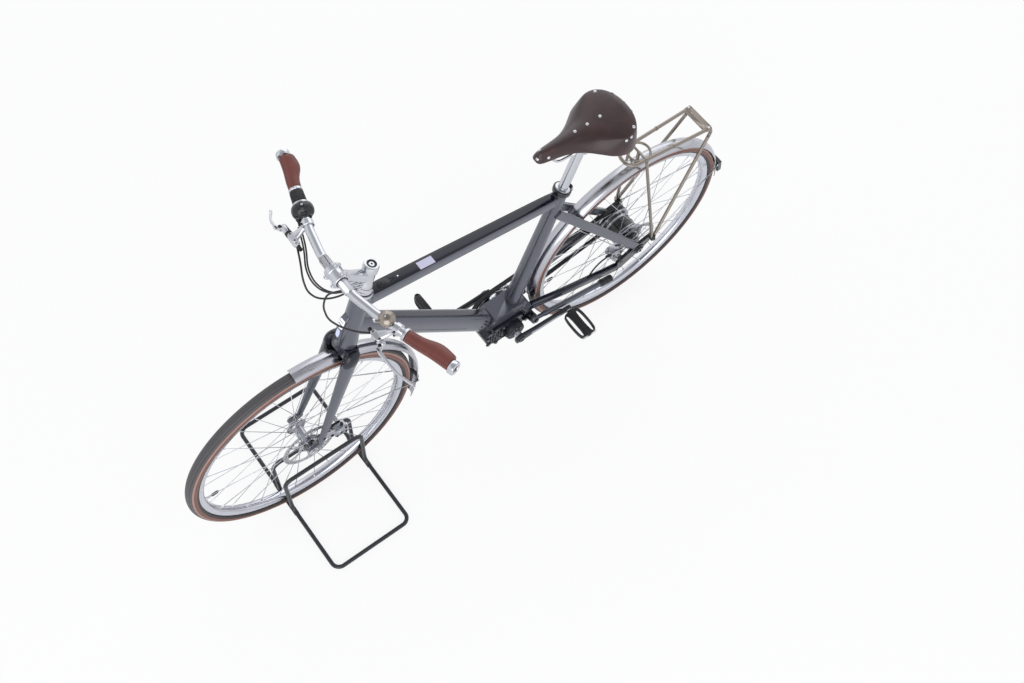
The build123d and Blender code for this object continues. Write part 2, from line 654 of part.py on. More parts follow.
def saddle_rails():
    """Two rails with a clamp round them on the seatpost, and a cross plate under each end of the shell."""
    under = SADDLE_Z - SADDLE_CROWN - SEAT_GAP
    front_plate = Pos(*at(346, 0, under - 4)) * Box(22, 20, 8)
    rear_plate = Pos(*at(112, 0, under - 5)) * Box(10, 96, 10)
    route = [at(346, 6, under - 8), at(312, 14, RAIL_Z), at(165, 22, RAIL_Z), at(112, 40, under - 10)]
    rails = pair(bent_rod(route, RAIL_R, 26))
    clamp_at = Vector(post_top().X, 0, RAIL_Z)
    clamp = rod(clamp_at - LEFT * 30, clamp_at + LEFT * 30, 13.5)
    return front_plate + rear_plate + rails.solids()[0] + rails.solids()[1] + clamp - seatpost()


# ---- rack ----
def rack_deck():
    back = at(RACK_BACK[0], RACK_HALF, RACK_BACK[1])
    nose = at(RACK_FRONT[0], RACK_FRONT_HALF, RACK_FRONT[1])
    nose_right = Vector(nose.X, -nose.Y, nose.Z)
    back_right = Vector(back.X, -back.Y, back.Z)
    down = (strut_foot() - back).normalized() * RACK_TURN
    down_right = Vector(down.X, -down.Y, down.Z)
    route = [back + down, back, nose, nose_right, back_right, back_right + down_right]
    loop = bent_rod(route, RACK_R, [16, RACK_FRONT_HALF * 0.92, RACK_FRONT_HALF * 0.92, 16])
    plate_at = (back + back_right) / 2 + Vector(RACK_PLATE_W / 2 + 8, 0, 2)
    plate = Pos(*plate_at) * Box(RACK_PLATE_W, 2 * RACK_HALF - 4, RACK_PLATE_T)
    for side in (-1, 1):
        hole_at = plate_at + LEFT * (side * RACK_HOLE_SPACING / 2)
        plate -= rod(hole_at - Vector(0, 0, 9), hole_at + Vector(0, 0, 9), RACK_HOLE_R)
    ring_at = at(RACK_FRONT[0] - 56, 0, RACK_FRONT[1] - 5)
    ring = Plane(ring_at) * Solid.make_torus(RACK_RING_R, 3.6)
    bar = rod(ring_at - LEFT * RACK_RING_R, ring_at + LEFT * RACK_RING_R, 3.6)
    post = rod(Vector(ring_at.X, 0, REAR_AXLE.Z + MUDGUARD_R + SEAT_GAP), ring_at, 5)
    return loop + plate + ring + bar + post


def strut_foot():
    outer = REAR_LOCK_Y + REAR_END_T
    return at(STRUT_FOOT[0], outer + RACK_R + SEAT_GAP, STRUT_FOOT[1])


def rack_rear_struts():
    """Carry on from the rails' bends down to an ear on each dropout."""
    foot = strut_foot()
    back = at(RACK_BACK[0], RACK_HALF, RACK_BACK[1])
    start = back + (foot - back).normalized() * RACK_TURN
    bolt = rod(foot - LEFT * (RACK_R + SEAT_GAP), foot + LEFT * (RACK_R + 3), RACK_R)
    return pair(rod(start, foot, RACK_R) + bolt)


def rack_front_struts():
    """Run from under the rails down to the rear struts' feet."""
    top = at(6, RACK_FRONT_HALF + 4.5, RACK_FRONT[1] - 11.4)
    strut = rod(top, strut_foot() + Vector(3, 0, 2), STRUT_R)
    return pair(strut - rack_rear_struts())


# ---- steering ----
def fork_crown():
    middle = steer(CROWN_S + CROWN_H / 2)
    block = Plane(middle, x_dir=AHEAD_STEER, z_dir=UP_STEER) * Box(CROWN_DEPTH, 2 * CROWN_HALF, CROWN_H)
    long_edges = block.edges().filter_by(lambda edge: abs((edge % 0.5).dot(UP_STEER)) > 0.99)
    block = fillet(long_edges, 14)
    steerer = rod(steer(CROWN_S + 2), steer(CLAMP_TOP_S), STEERER_R)
    return block + steerer


def blade_foot():
    return steer(14, BLADE_FOOT_AHEAD, FRONT_LOCK_Y + FRONT_END_T / 2)


def fork_blade():
    top_at = steer(CROWN_S, BLADE_TOP_AHEAD, BLADE_TOP_Y)
    foot_at = blade_foot()
    sections = []
    for place, (deep, wide) in ((foot_at, BLADE_FOOT), (top_at, BLADE_TOP)):
        plane = Plane(place, x_dir=AHEAD_STEER, z_dir=UP_STEER)
        sections.append(plane * Ellipse(deep / 2, wide / 2))
    blade = loft(sections)
    end = link(foot_at, BLADE_FOOT[0] / 2, FRONT_AXLE, 12, FRONT_LOCK_Y, FRONT_LOCK_Y + FRONT_END_T)
    inner_cut = rod(FRONT_AXLE, FRONT_AXLE + LEFT * FRONT_LOCK_Y, 26)
    return blade + end - rod(FRONT_AXLE, FRONT_AXLE + LEFT * 90, AXLE_R) - inner_cut


BAR_CENTRE = steer(CLAMP_TOP_S + BAR_RISE, BAR_REACH)


def bar_point(index, side=1):
    back, out, up = BAR_ROUTE[index]
    return BAR_CENTRE + Vector(back, side * out, up)


def stem():
    """Spacers, a clamp round the steerer, a rising arm and the clamp round the bar."""
    cap_from = SPACER_H + STEM_H
    outline = [(STEERER_R, 0), (STEM_R, 0), (STEM_R, cap_from), (STEM_R - 1, cap_from + CAP_H),
               (0, cap_from + CAP_H), (0, cap_from), (STEERER_R, cap_from)]
    column = turned(outline, steer(STEM_S), UP_STEER)
    arm = rod(steer(CLAMP_S + STEM_H / 2, 8), BAR_CENTRE, 14)
    arm -= rod(steer(CLAMP_S - 10), steer(CLAMP_TOP_S + 3), STEERER_R)
    clamp = rod(BAR_CENTRE - LEFT * 23, BAR_CENTRE + LEFT * 23, 20)
    body = column + arm + clamp
    return body - rod(BAR_CENTRE - LEFT * 40, BAR_CENTRE + LEFT * 40, BAR_MID_R)


def handlebar():
    """A swept bar, a little thicker in the middle."""
    halves = []
    for side in (1, -1):
        route = [bar_point(index, side) for index in range(len(BAR_ROUTE))]
        end = route[-1] - (route[-1] - route[-2]).normalized() * BAR_END_T
        halves.append(bent_rod([*route[:-1], end], BAR_R, 150))
    middle = rod(BAR_CENTRE - LEFT * 52, BAR_CENTRE + LEFT * 52, BAR_MID_R)
    return halves[0] + halves[1] + middle


def bar_line(side):
    """The outer end of the bar and the unit run inward from it."""
    end = bar_point(-1, side)
    return end, (bar_point(-2, side) - end).normalized()


def grip(side, length):
    """A flared leather-covered grip: round at its inner end and winged towards the rider at its outer end."""
    end, inward = bar_line(side)
    back = (Vector(-1, 0, 0) + inward * inward.X).normalized()
    outer = end + inward * (BAR_END_T + 2)
    sections = []
    ovals = [(0.0, GRIP_FLARE * 0.86, GRIP_R + 1.5, 5), (0.35, GRIP_FLARE, GRIP_R + 1, 8),
             (0.75, GRIP_R + 1, GRIP_R, 1), (1.0, GRIP_R, GRIP_R, 0)]
    for share, deep, tall, shift in ovals:
        plane = Plane(outer + inward * (length * share) + back * shift, x_dir=back, z_dir=inward)
        sections.append(plane * Ellipse(deep, tall))
    body = loft(sections)
    return body - rod(end, end + inward * (length + 60), BAR_R)


def bar_ends():
    """A clamp at each outer end, with an end plug, and a ring at the inner end of each grip."""
    pieces = []
    for side, length in ((1, LEFT_GRIP_LENGTH), (-1, RIGHT_GRIP_LENGTH)):
        end, inward = bar_line(side)
        pieces.append(rod(end, end + inward * BAR_END_T, 17))
        start = end + inward * (BAR_END_T + 2.2 + length)
        pieces.append(rod(start, start + inward * 7, 16.5) - rod(start - inward, start + inward * 8, BAR_R))
    return Compound(pieces)


def gear_shifter():
    """A ribbed twist grip with a domed housing inboard of the right grip."""
    end, inward = bar_line(-1)
    start = end + inward * (BAR_END_T + RIGHT_GRIP_LENGTH + 9.6)
    outline = [(BAR_R, 0), (16, 0), (17, 34), (20, 37), (20, 41), (26, 44), (27, 56), (23, 66), (16, 69),
               (16, 74), (BAR_R, 74)]
    body = turned(outline, start, inward)
    lead = rod(start + inward * 56 + Vector(14, 0, -10), shifter_lead(), SHIFTER_LEAD_R)
    return body + lead


def shifter_lead():
    """The inner end of the shifter's cable outlet."""
    end, inward = bar_line(-1)
    return end + inward * (BAR_END_T + RIGHT_GRIP_LENGTH + 9.6 + 76) + Vector(16, 0, -15)


LEVER_CLAMP = (193.0, -149.0)   # how far out each brake lever's clamp sits, left and right
PUMP_INNER = (158.0, -123.0)
LEVER_PIVOT = (190.0, -187.0)
LEVER_TIP = (305.0, -255.0)
LEVER_CLAMP_R = 15.0
BELL_OUT = 164.0


def on_bar(out):
    """The point on the bar at a distance out from its middle, and the bar's run there."""
    side = 1 if out > 0 else -1
    points = [bar_point(index, side) for index in range(len(BAR_ROUTE))]
    for first, second in zip(points, points[1:]):
        if abs(second.Y) >= abs(out):
            share = (abs(out) - abs(first.Y)) / (abs(second.Y) - abs(first.Y))
            return first + (second - first) * share, (second - first).normalized()
    return points[-1], LEFT * side


def pump_ends(side):
    """The inner and outer end of a brake lever's master cylinder."""
    which = 0 if side > 0 else 1
    place, _ = on_bar(LEVER_CLAMP[which])
    inner = Vector(place.X + 44, PUMP_INNER[which], place.Z - 20)
    outer = Vector(place.X + 42, LEVER_PIVOT[which], place.Z - 25)
    return inner, outer


def brake_lever(side):
    """A hydraulic lever: clamp, master cylinder ahead of the bar, and a curved blade."""
    which = 0 if side > 0 else 1
    place, run = on_bar(LEVER_CLAMP[which])
    inner, outer = pump_ends(side)
    clamp = rod(place - run * 7, place + run * 7, LEVER_CLAMP_R)
    neck = rod(place, inner + (outer - inner) * 0.4, 8)
    pump = rod(inner, outer, 9.0)
    tip = Vector(outer.X - 4, LEVER_TIP[which], outer.Z - 22)
    knuckle = outer + Vector(15, side * 14, -4)
    blade = bent_rod([outer, knuckle, (knuckle + tip) / 2 + Vector(6, 0, -1), tip], 4.5, [9, 60])
    return clamp + neck + pump + blade - rod(place - run * 30, place + run * 30, BAR_R)


def bell():
    place, run = on_bar(BELL_OUT)
    base = place + Vector(0, 0, BAR_R)
    ring = rod(place - run * 4, place + run * 4, BAR_R + 2.5) - rod(place - run * 9, place + run * 9, BAR_R)
    dome = turned([(0, 2), (20, 2), (20, 6), (16, 15), (8, 20), (0, 21)], base, Vector(0.2, 0, 1))
    return ring + dome


def headlamp():
    """A slim lamp body on the front of the head tube, ending above the turning crown."""
    foot, top = HEAD_S + LAMP_FOOT, HEAD_S + LAMP_FOOT + LAMP_HEIGHT
    back, front = HEAD_R / 2, LAMP_AHEAD
    places = [(foot, back), (foot, front - 3), (foot + 6, front), (top - 22, front), (top - 4, front - 9),
              (top, back)]
    outline = [(steer(along, ahead).X, steer(along, ahead).Z) for along, ahead in places]
    return slab(outline, -LAMP_HALF, LAMP_HALF) - head_envelope()


def disc_slot(axle, face_y):
    """The room that a brake body leaves for its disc."""
    start, end = face_y - CALIPER_SLOT_GAP, face_y + DISC_T + CALIPER_SLOT_GAP
    return rod(axle + LEFT * start, axle + LEFT * end, DISC_R + CALIPER_EDGE_GAP)


def front_caliper():
    """The brake body behind the left blade: two halves round the disc, and an arm to the blade."""
    inner, outer = FRONT_DISC_Y - CALIPER_WALL, FRONT_LOCK_Y + FRONT_END_T + 2
    ahead, above = FRONT_CALIPER_PLACE
    middle = FRONT_AXLE + Vector(ahead, (inner + outer) / 2, above)
    body = Pos(*middle) * Box(FRONT_CALIPER_SIZE[0], outer - inner, FRONT_CALIPER_SIZE[1])
    arm_foot = FRONT_AXLE + Vector(FRONT_CALIPER_ARM[0], 0, FRONT_CALIPER_ARM[1])
    arm = link(middle, CALIPER_ARM_R, arm_foot, 9, FRONT_LOCK_Y - 4, FRONT_LOCK_Y + FRONT_END_T - 1)
    return body + arm - disc_slot(FRONT_AXLE, FRONT_DISC_Y) - fork_blade()


def rear_caliper_place():
    """The middle of the rear brake body, and its width between the wheel and the dropout."""
    low_y, high_y = REAR_DISC_Y - 2 * CALIPER_WALL, REAR_LOCK_Y
    ahead, above = REAR_CALIPER_PLACE
    return REAR_AXLE + Vector(ahead, (low_y + high_y) / 2, above), high_y - low_y


def rear_caliper():
    """The brake body above the left chainstay, with a slot for the disc and an arm down to the dropout."""
    place, width = rear_caliper_place()
    body = Pos(*place) * Box(REAR_CALIPER_SIZE[0], width, REAR_CALIPER_SIZE[1])
    arm_foot = REAR_AXLE + Vector(REAR_CALIPER_ARM[0], 0, REAR_CALIPER_ARM[1])
    arm = link(place, CALIPER_ARM_R, arm_foot, CALIPER_ARM_R, REAR_LOCK_Y - 7, REAR_LOCK_Y)
    return body + arm - disc_slot(REAR_AXLE, REAR_DISC_Y) - dropout() - seatstay() - chainstay()


# ---- stands ----
def kick_points():
    """The pivot and the foot, stowed and down, and the hinge axis and angle between them."""
    pivot = at(KICK_PIVOT[0], KICK_PIVOT_Y, KICK_PIVOT[1])
    stowed = at(*KICK_FOOT_STOWED)
    length = (stowed - pivot).length
    side, drop = KICK_FOOT_DOWN_Y - pivot.Y, KICK_FOOT_DOWN_Z - pivot.Z
    ahead = sqrt(length ** 2 - side ** 2 - drop ** 2)
    down = pivot + Vector(ahead, side, drop)
    swing = (down - stowed).normalized()
    axis = (LEFT - swing * LEFT.dot(swing)).normalized() * -1
    first, last = stowed - pivot, down - pivot
    first -= axis * axis.dot(first)
    last -= axis * axis.dot(last)
    angle = degrees(acos(first.dot(last) / (first.length * last.length)))
    return pivot, stowed, down, axis, angle


def kickstand():
    pivot, stowed, _, axis, _ = kick_points()
    run = (stowed - pivot).normalized()
    boss = rod(pivot - axis * (KICK_BOSS_W / 2), pivot + axis * (KICK_BOSS_W / 2), KICK_BOSS_R)
    neck = rod(pivot, pivot + run * (KICK_NECK + 2), KICK_NECK_R)
    leg = rod(pivot + run * KICK_NECK, stowed - run * 6, KICK_LEG_R)
    foot = rod(stowed - run * 48, stowed, KICK_FOOT_R)
    return boss + neck + leg + foot - rod(pivot - axis * 40, pivot + axis * 40, KICK_PIN_R + RUNNING_GAP)


def kickstand_mount():
    """A lug under the left chainstay's root, with the hinge pin."""
    pivot, _, _, axis, _ = kick_points()
    inner = pivot + axis * (KICK_BOSS_W / 2 + KICK_SIDE_GAP)
    outer = pivot - axis * (KICK_BOSS_W / 2 + KICK_SIDE_GAP)
    pin = rod(outer, inner + axis * 14, KICK_PIN_R)
    head = rod(outer - axis * 2.4, outer, KICK_PIN_R + 2.5)
    lug = rod(inner, inner + axis * 16, KICK_BOSS_R)
    arm_top = CRANK_AXLE.Z + MOTOR_TOP - 32
    arm = slab([(pivot.X - 12, pivot.Z - 12), (pivot.X + 22, pivot.Z - 12), (pivot.X + 30, arm_top),
                (pivot.X - 12, arm_top)], 8, inner.Y - 6)
    return pin + head + lug + arm - drive_unit() - motor_bracket() - chainstay()


def stand_loop(side):
    """One wire loop: a broad bend on the floor that turns up into an arch beside the wheel."""
    back, front = FRONT_X - STAND_BACK, FRONT_X + STAND_FRONT
    middle = (back + front) / 2
    out, slot = side * STAND_HALF, side * STAND_SLOT
    halves = []
    for end_x in (back, front):
        route = [Vector(middle, out, WIRE_R), Vector(end_x, out, WIRE_R), Vector(end_x, slot, WIRE_R),
                 Vector(end_x, slot, STAND_HEIGHT), Vector(middle, slot, STAND_HEIGHT)]
        halves.append(bent_rod(route, WIRE_R, STAND_BEND))
    return halves[0] + halves[1]


def wire_stand_left():
    """The left loop, with the two flat links that run under the wheel to the right one."""
    body = stand_loop(1)
    length = 2 * (STAND_SLOT + STAND_LINK_LAP)
    for end_x in (FRONT_X - STAND_BACK, FRONT_X + STAND_FRONT):
        body += Pos(end_x, 0, STAND_LINK_T / 2) * Box(STAND_LINK_W, length, STAND_LINK_T)
    return body - stand_loop(-1)


def tail_lamp():
    """A lamp on the rear mudguard's end, its back face upright."""
    x, z = REAR_X - TAIL_REACH, TYRE_R + 62
    body = slab([(x, z - 26), (x + 30, z - 30), (x + 46, z + 22), (x + 8, z + 20)], -19, 19)
    return body - rod(REAR_AXLE - LEFT * 60, REAR_AXLE + LEFT * 60, MUDGUARD_R + SEAT_GAP)


# ---- cables ----
def handlebar_cables():
    """Both brake hoses and the two gear cables, which meet at the stem's foot."""
    port = steer(STEM_S + SPACER_H / 2, STEM_R + 1)
    right_pump = pump_ends(-1)[0] + Vector(3, SEAT_GAP, -1)
    left_pump = pump_ends(1)[0] + Vector(3, -SEAT_GAP - 1, -1)
    right_hose = [right_pump, at(974, -92, 984), at(989, -64, 961), at(991, -46, 932), at(978, -32, 909),
                  at(952, -20, 897), at(922, -13, 893), port + Vector(1, -11, -4)]
    left_hose = [left_pump, at(971, 133, 991), at(990, 100, 982), at(1000, 58, 966), at(987, 14, 948),
                 at(962, -12, 938), at(934, -15, 920), port + Vector(1, -2, 4)]
    shifter = shifter_lead()
    cables = [cable("right brake hose", right_hose, HOSE_R), cable("left brake hose", left_hose, HOSE_R)]
    for name, shift, entry in (("upper gear cable", Vector(0, 0, 0), Vector(1, -6, 3)),
                               ("lower gear cable", Vector(4, -4, -6), Vector(1, -13, 2))):
        bends = [at(941, -121, 977), at(963, -84, 961), at(967, -55, 943), at(956, -32, 924)]
        turns = [place + shift for place in bends]
        route = [shifter + shift, *turns, at(932, -13, 911) + shift * 0.5, port + entry]
        cables.append(cable(name, route, CABLE_R))
    return Compound([piece.solid() for piece in cables])


def frame_cables():
    """The rear brake hose, which leaves the left chainstay and loops back to the brake body."""
    place, _ = rear_caliper_place()
    end = place + Vector(REAR_CALIPER_SIZE[0] / 2 + SEAT_GAP, 9, 10)
    brake = [at(173, 60, 336.5), at(158, 60, 362), at(137, 61, 382), end]
    return Compound([cable("rear brake hose", brake, HOSE_R).solid()])


parts = {
    "head_tube": head_tube(),
    "headlamp": headlamp(),
    "top_tube": top_tube(),
    "down_tube": down_tube(),
    "seat_tube": seat_tube(),
    "motor_bracket": motor_bracket(),
    "drive_unit": drive_unit(),
    "chainstays": pair(chainstay()),
    "seatstays": pair(seatstay()),
    "dropouts": pair(dropout()),
    "seat_collar": seat_collar(),
    "seatpost": seatpost(),
    "saddle": saddle(),
    "saddle_rails": saddle_rails(),
    "rear_mudguard": rear_mudguard(),
    "rear_guard_stays": rear_guard_stays(),
    "tail_lamp": tail_lamp(),
    "rack_deck": rack_deck(),
    "rack_rear_struts": rack_rear_struts(),
    "rack_front_struts": rack_front_struts(),
    "drive_belt": drive_belt(),
    "rear_axle": axle_pin(REAR_AXLE, REAR_LOCK_Y, REAR_END_T),
    "rear_caliper": rear_caliper(),
    "frame_cables": frame_cables(),
    "kickstand_mount": kickstand_mount(),
    "fork_crown": fork_crown(),
    "fork_blades": pair(fork_blade()),
    "front_axle": axle_pin(FRONT_AXLE, FRONT_LOCK_Y, FRONT_END_T),
    "stem": stem(),
    "handlebar": handlebar(),
    "left_grip": grip(1, LEFT_GRIP_LENGTH),
    "right_grip": grip(-1, RIGHT_GRIP_LENGTH),
    "bar_ends": bar_ends(),
    "gear_shifter": gear_shifter(),
    "left_brake_lever": brake_lever(1),
    "right_brake_lever": brake_lever(-1),
    "bell": bell(),
    "front_mudguard": mudguard(FRONT_GUARD_CENTRE, FRONT_GUARD_R, FRONT_GUARD_FROM, FRONT_GUARD_TO),
    "front_guard_stays": front_guard_stays(),
    "front_caliper": front_caliper(),
    "handlebar_cables": handlebar_cables(),
    "wire_stand_left": wire_stand_left(),
    "wire_stand_right": stand_loop(-1),
    "front_tyre": tyre(FRONT_AXLE),
    "front_rim": rim(FRONT_AXLE),
    "front_spokes": spokes(FRONT_AXLE, FRONT_FLANGE_R, 24, -30, 62),
    "front_hub": front_hub(),
    "front_disc": brake_disc(FRONT_AXLE, FRONT_DISC_Y, 9),
    "rear_tyre": tyre(REAR_AXLE),
    "rear_rim": rim(REAR_AXLE),
    "rear_spokes": spokes(REAR_AXLE, REAR_FLANGE_R, 26.5, -36.5, 55),
    "rear_hub": rear_hub(),
    "rear_disc": brake_disc(REAR_AXLE, REAR_DISC_Y, 10),
    "rear_sprocket": sprocket(REAR_AXLE, REAR_SPROCKET_R, 20, 0, 0, 0),
    "crankset": crankset(),
    "front_sprocket": sprocket(CRANK_AXLE, FRONT_SPROCKET_R, SPINDLE_R, 5, 13, 43),
    "left_pedal": pedal(1, False),
    "right_pedal": pedal(-1, True),
    "kickstand": kickstand(),
}

os.makedirs("parts", exist_ok=True)
for name, shape in parts.items():
    export_step(shape, f"parts/{name}.step")

pivot, _, _, axis, angle = kick_points()
print("kickstand pivot", pivot, "axis", axis, "angle", round(angle, 2))
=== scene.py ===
"""Looks of a city electric bicycle with a belt drive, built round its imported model.

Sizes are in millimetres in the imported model's frame: +X forward, +Y to the rider's left and
+Z up, with the floor at Z = 0. They become metres where a finished mesh is handed over.
"""

import json
import logging
import math
from dataclasses import dataclass
from enum import Enum
from typing import Sequence

import bmesh
import bpy
from mathutils import Matrix, Vector
from mathutils.bvhtree import BVHTree

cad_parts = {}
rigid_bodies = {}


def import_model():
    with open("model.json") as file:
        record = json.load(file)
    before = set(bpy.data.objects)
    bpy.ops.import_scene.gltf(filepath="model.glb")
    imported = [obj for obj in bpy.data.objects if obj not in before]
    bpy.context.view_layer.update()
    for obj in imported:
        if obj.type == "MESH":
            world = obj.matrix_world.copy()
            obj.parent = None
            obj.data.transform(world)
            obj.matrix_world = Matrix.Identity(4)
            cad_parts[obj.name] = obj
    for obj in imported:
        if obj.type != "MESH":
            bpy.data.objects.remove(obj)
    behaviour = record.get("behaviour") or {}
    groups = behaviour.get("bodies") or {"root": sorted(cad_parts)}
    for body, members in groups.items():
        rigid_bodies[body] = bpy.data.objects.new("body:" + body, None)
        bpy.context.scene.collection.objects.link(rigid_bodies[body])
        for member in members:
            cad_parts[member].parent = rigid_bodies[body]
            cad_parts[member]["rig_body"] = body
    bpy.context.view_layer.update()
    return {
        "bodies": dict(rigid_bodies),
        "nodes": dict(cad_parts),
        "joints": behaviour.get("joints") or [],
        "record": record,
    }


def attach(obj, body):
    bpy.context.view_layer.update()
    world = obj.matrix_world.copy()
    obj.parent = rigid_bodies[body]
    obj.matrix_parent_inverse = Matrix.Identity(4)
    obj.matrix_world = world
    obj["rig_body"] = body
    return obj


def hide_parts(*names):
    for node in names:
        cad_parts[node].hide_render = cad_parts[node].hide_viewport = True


LOG = logging.getLogger("bicycle")
METRES_PER_MM = 0.001

REAR_X = -545.0
WHEELBASE = 1110.0
TYRE_R = 346.0
HEAD_ANGLE = 71.0
FORK_OFFSET = 47.0
REAR_AXLE = Vector((REAR_X, 0, TYRE_R))
FRONT_AXLE = Vector((REAR_X + WHEELBASE, 0, TYRE_R))
CRANK_AXLE = Vector((REAR_X + 438, 0, 288))
LEFT = Vector((0, 1, 0))
UP = Vector((0, 0, 1))
FORWARD = Vector((1, 0, 0))
UP_STEER = Vector((-math.cos(math.radians(HEAD_ANGLE)), 0, math.sin(math.radians(HEAD_ANGLE))))
AHEAD_STEER = Vector((math.sin(math.radians(HEAD_ANGLE)), 0, math.cos(math.radians(HEAD_ANGLE))))
STEER_BASE = FRONT_AXLE - AHEAD_STEER * FORK_OFFSET
CROWN_S = 357.65
HEAD_S = 390.25
HEAD_TOP_S = 590.25
CLAMP_TOP_S = 680.85
BAR_CENTRE = STEER_BASE + UP_STEER * (CLAMP_TOP_S + 8) + AHEAD_STEER * 98
BAR_ROUTE = [(0, 0, 0), (0, 62, 1), (-14, 130, 3), (-77, 347, 8)]
SEAT_TOP = Vector((REAR_X + 272, 0, 792))
SEAT_FOOT = Vector((REAR_X + 419, 0, 330))
SEAT_UP = (SEAT_TOP - SEAT_FOOT).normalized()
MUDGUARD_R = 353.0
FRONT_GUARD_R = 357.5
FRONT_GUARD_CENTRE = FRONT_AXLE - AHEAD_STEER * 14.5
BELT_Y = -52.0
REAR_FLANGE_R = 52.0
GRIP_LENGTHS = {1: 118.0, -1: 92.0}
CRANK_LENGTH = 170.0
CRANK_LEAN = 2.5
PEDAL_OUT = 146.0


def at(x: float, y: float, z: float) -> Vector:
    """A point measured forward from the rear axle."""
    return Vector((REAR_X + x, y, z))


def steer(along: float, ahead: float = 0.0, side: float = 0.0) -> Vector:
    """A point given along, ahead of and beside the steering axis."""
    return STEER_BASE + UP_STEER * along + AHEAD_STEER * ahead + LEFT * side


def crank_run(side: int) -> Vector:
    """The way that the left (1) or right (-1) crank points at rest."""
    lean = math.radians(CRANK_LEAN)
    return -Vector((math.cos(lean), 0, math.sin(lean))) * side


def round_axle(count: int, phase: float = 0.0) -> list[Vector]:
    """Directions spaced evenly round an axle, the first turned by a phase in radians."""
    turns = [math.tau * step / count + phase for step in range(count)]
    return [Vector((math.cos(turn), 0, math.sin(turn))) for turn in turns]


def bar_point(index: int, side: int) -> Vector:
    """One of the points where the handlebar bends, on the left (1) or the right (-1)."""
    back, out, up = BAR_ROUTE[index]
    return BAR_CENTRE + Vector((back, side * out, up))


def on_bar(out: float) -> tuple[Vector, Vector]:
    """Finds a place on the handlebar.

    Args:
        out: distance from the middle, positive to the left.

    Returns:
        The point on the bar's axis, and the bar's outward run there.
    """
    side = 1 if out > 0 else -1
    points = [bar_point(index, side) for index in range(len(BAR_ROUTE))]
    for first, second in zip(points, points[1:]):
        if abs(second.y) >= abs(out):
            share = (abs(out) - abs(first.y)) / (abs(second.y) - abs(first.y))
            return first + (second - first) * share, (second - first).normalized()
    return points[-1], (points[-1] - points[-2]).normalized()


def aligned(origin: Vector, axis: Vector, across: Vector = FORWARD) -> Matrix:
    """A matrix whose Z runs along an axis and whose X lies as near as it can to another direction.

    Args:
        origin: where the matrix's own zero lies.
        axis: the direction that its Z runs along.
        across: the direction that its X lies near.

    Returns:
        The matrix.
    """
    z_dir = axis.normalized()
    y_dir = z_dir.cross(across)
    if y_dir.length < 1e-4:
        y_dir = z_dir.cross(LEFT)
    y_dir.normalize()
    x_dir = y_dir.cross(z_dir)
    turn = Matrix((x_dir, y_dir, z_dir)).transposed().to_4x4()
    return Matrix.Translation(origin) @ turn


def basis(along: Vector, across: Vector) -> Matrix:
    """A turn whose X runs along one direction and whose Y lies across it.

    Args:
        along: the direction of its X.
        across: the direction that its Y lies near.

    Returns:
        The turn as a matrix.
    """
    x_dir = along.normalized()
    z_dir = upward(x_dir.cross(across).normalized())
    y_dir = z_dir.cross(x_dir)
    return Matrix((x_dir, y_dir, z_dir)).transposed().to_4x4()


def upward(direction: Vector) -> Vector:
    """The direction, or its opposite if that is the one that points up."""
    return -direction if direction.z < 0 else direction


def eased(rows: Sequence[Sequence[float]], share: float) -> list[float]:
    """Reads a table of evenly spaced rows at a share of its length, on a smooth curve through them.

    Args:
        rows: the table, a row of numbers for each even step.
        share: how far along it to read, from 0 to 1.

    Returns:
        The numbers there.
    """
    place = min(max(share, 0.0), 1.0) * (len(rows) - 1)
    row = min(int(place), len(rows) - 2)
    t = place - row
    near = [rows[min(max(row + step, 0), len(rows) - 1)] for step in (-1, 0, 1, 2)]
    return [0.5 * (2 * b + (c - a) * t + (2 * a - 5 * b + 4 * c - d) * t * t
                + (3 * b - a - 3 * c + d) * t ** 3)
            for a, b, c, d in zip(*near)]


def arc(centre: float, radius: float, first: float, last: float,
        steps: int = 12) -> list[tuple[float, float]]:
    """Points of an arc as (radius, side) pairs round a centre, its angles measured from straight
    outwards.
    """
    turns = [math.radians(first + (last - first) * step / steps) for step in range(steps + 1)]
    return [(centre + radius * math.cos(turn), radius * math.sin(turn)) for turn in turns]


# ---- materials ----
def linear(hex_code: str) -> tuple[float, float, float, float]:
    """Turns an sRGB hex colour such as "#6a6c74" into linear red, green, blue and alpha.

    Args:
        hex_code: the colour as "#rrggbb".

    Returns:
        The linear values.
    """
    shares = [int(hex_code[place:place + 2], 16) / 255 for place in (1, 3, 5)]
    turned = [share / 12.92 if share <= 0.04045 else ((share + 0.055) / 1.055) ** 2.4
            for share in shares]
    return (*turned, 1.0)


def add_node(tree: bpy.types.NodeTree, kind: str, settings: dict | None = None,
        links: dict | None = None) -> bpy.types.Node:
    """Adds one node with its settings and links.

    Args:
        tree: the material's or world's node tree.
        kind: the node's type name.
        settings: socket names or numbers with their values, or the node's own properties.
        links: socket names or numbers with the output socket that feeds each.

    Returns:
        The new node.
    """
    node = tree.nodes.new(kind)
    for key, value in (settings or {}).items():
        if isinstance(key, int) or key in node.inputs:
            node.inputs[key].default_value = value
        else:
            setattr(node, key, value)
    for key, socket in (links or {}).items():
        tree.links.new(socket, node.inputs[key])
    return node


def per_metre(millimetres: float) -> float:
    """The texture scale that repeats about once in that many millimetres."""
    return 1.0 / (millimetres * METRES_PER_MM)


class Grain(Enum):
    """How a surface's fine relief is laid out."""

    EVEN = "even noise"
    CELLS = "rounded cells"
    LONG = "lines drawn along X"
    ROUND = "lines drawn round the Y axis"


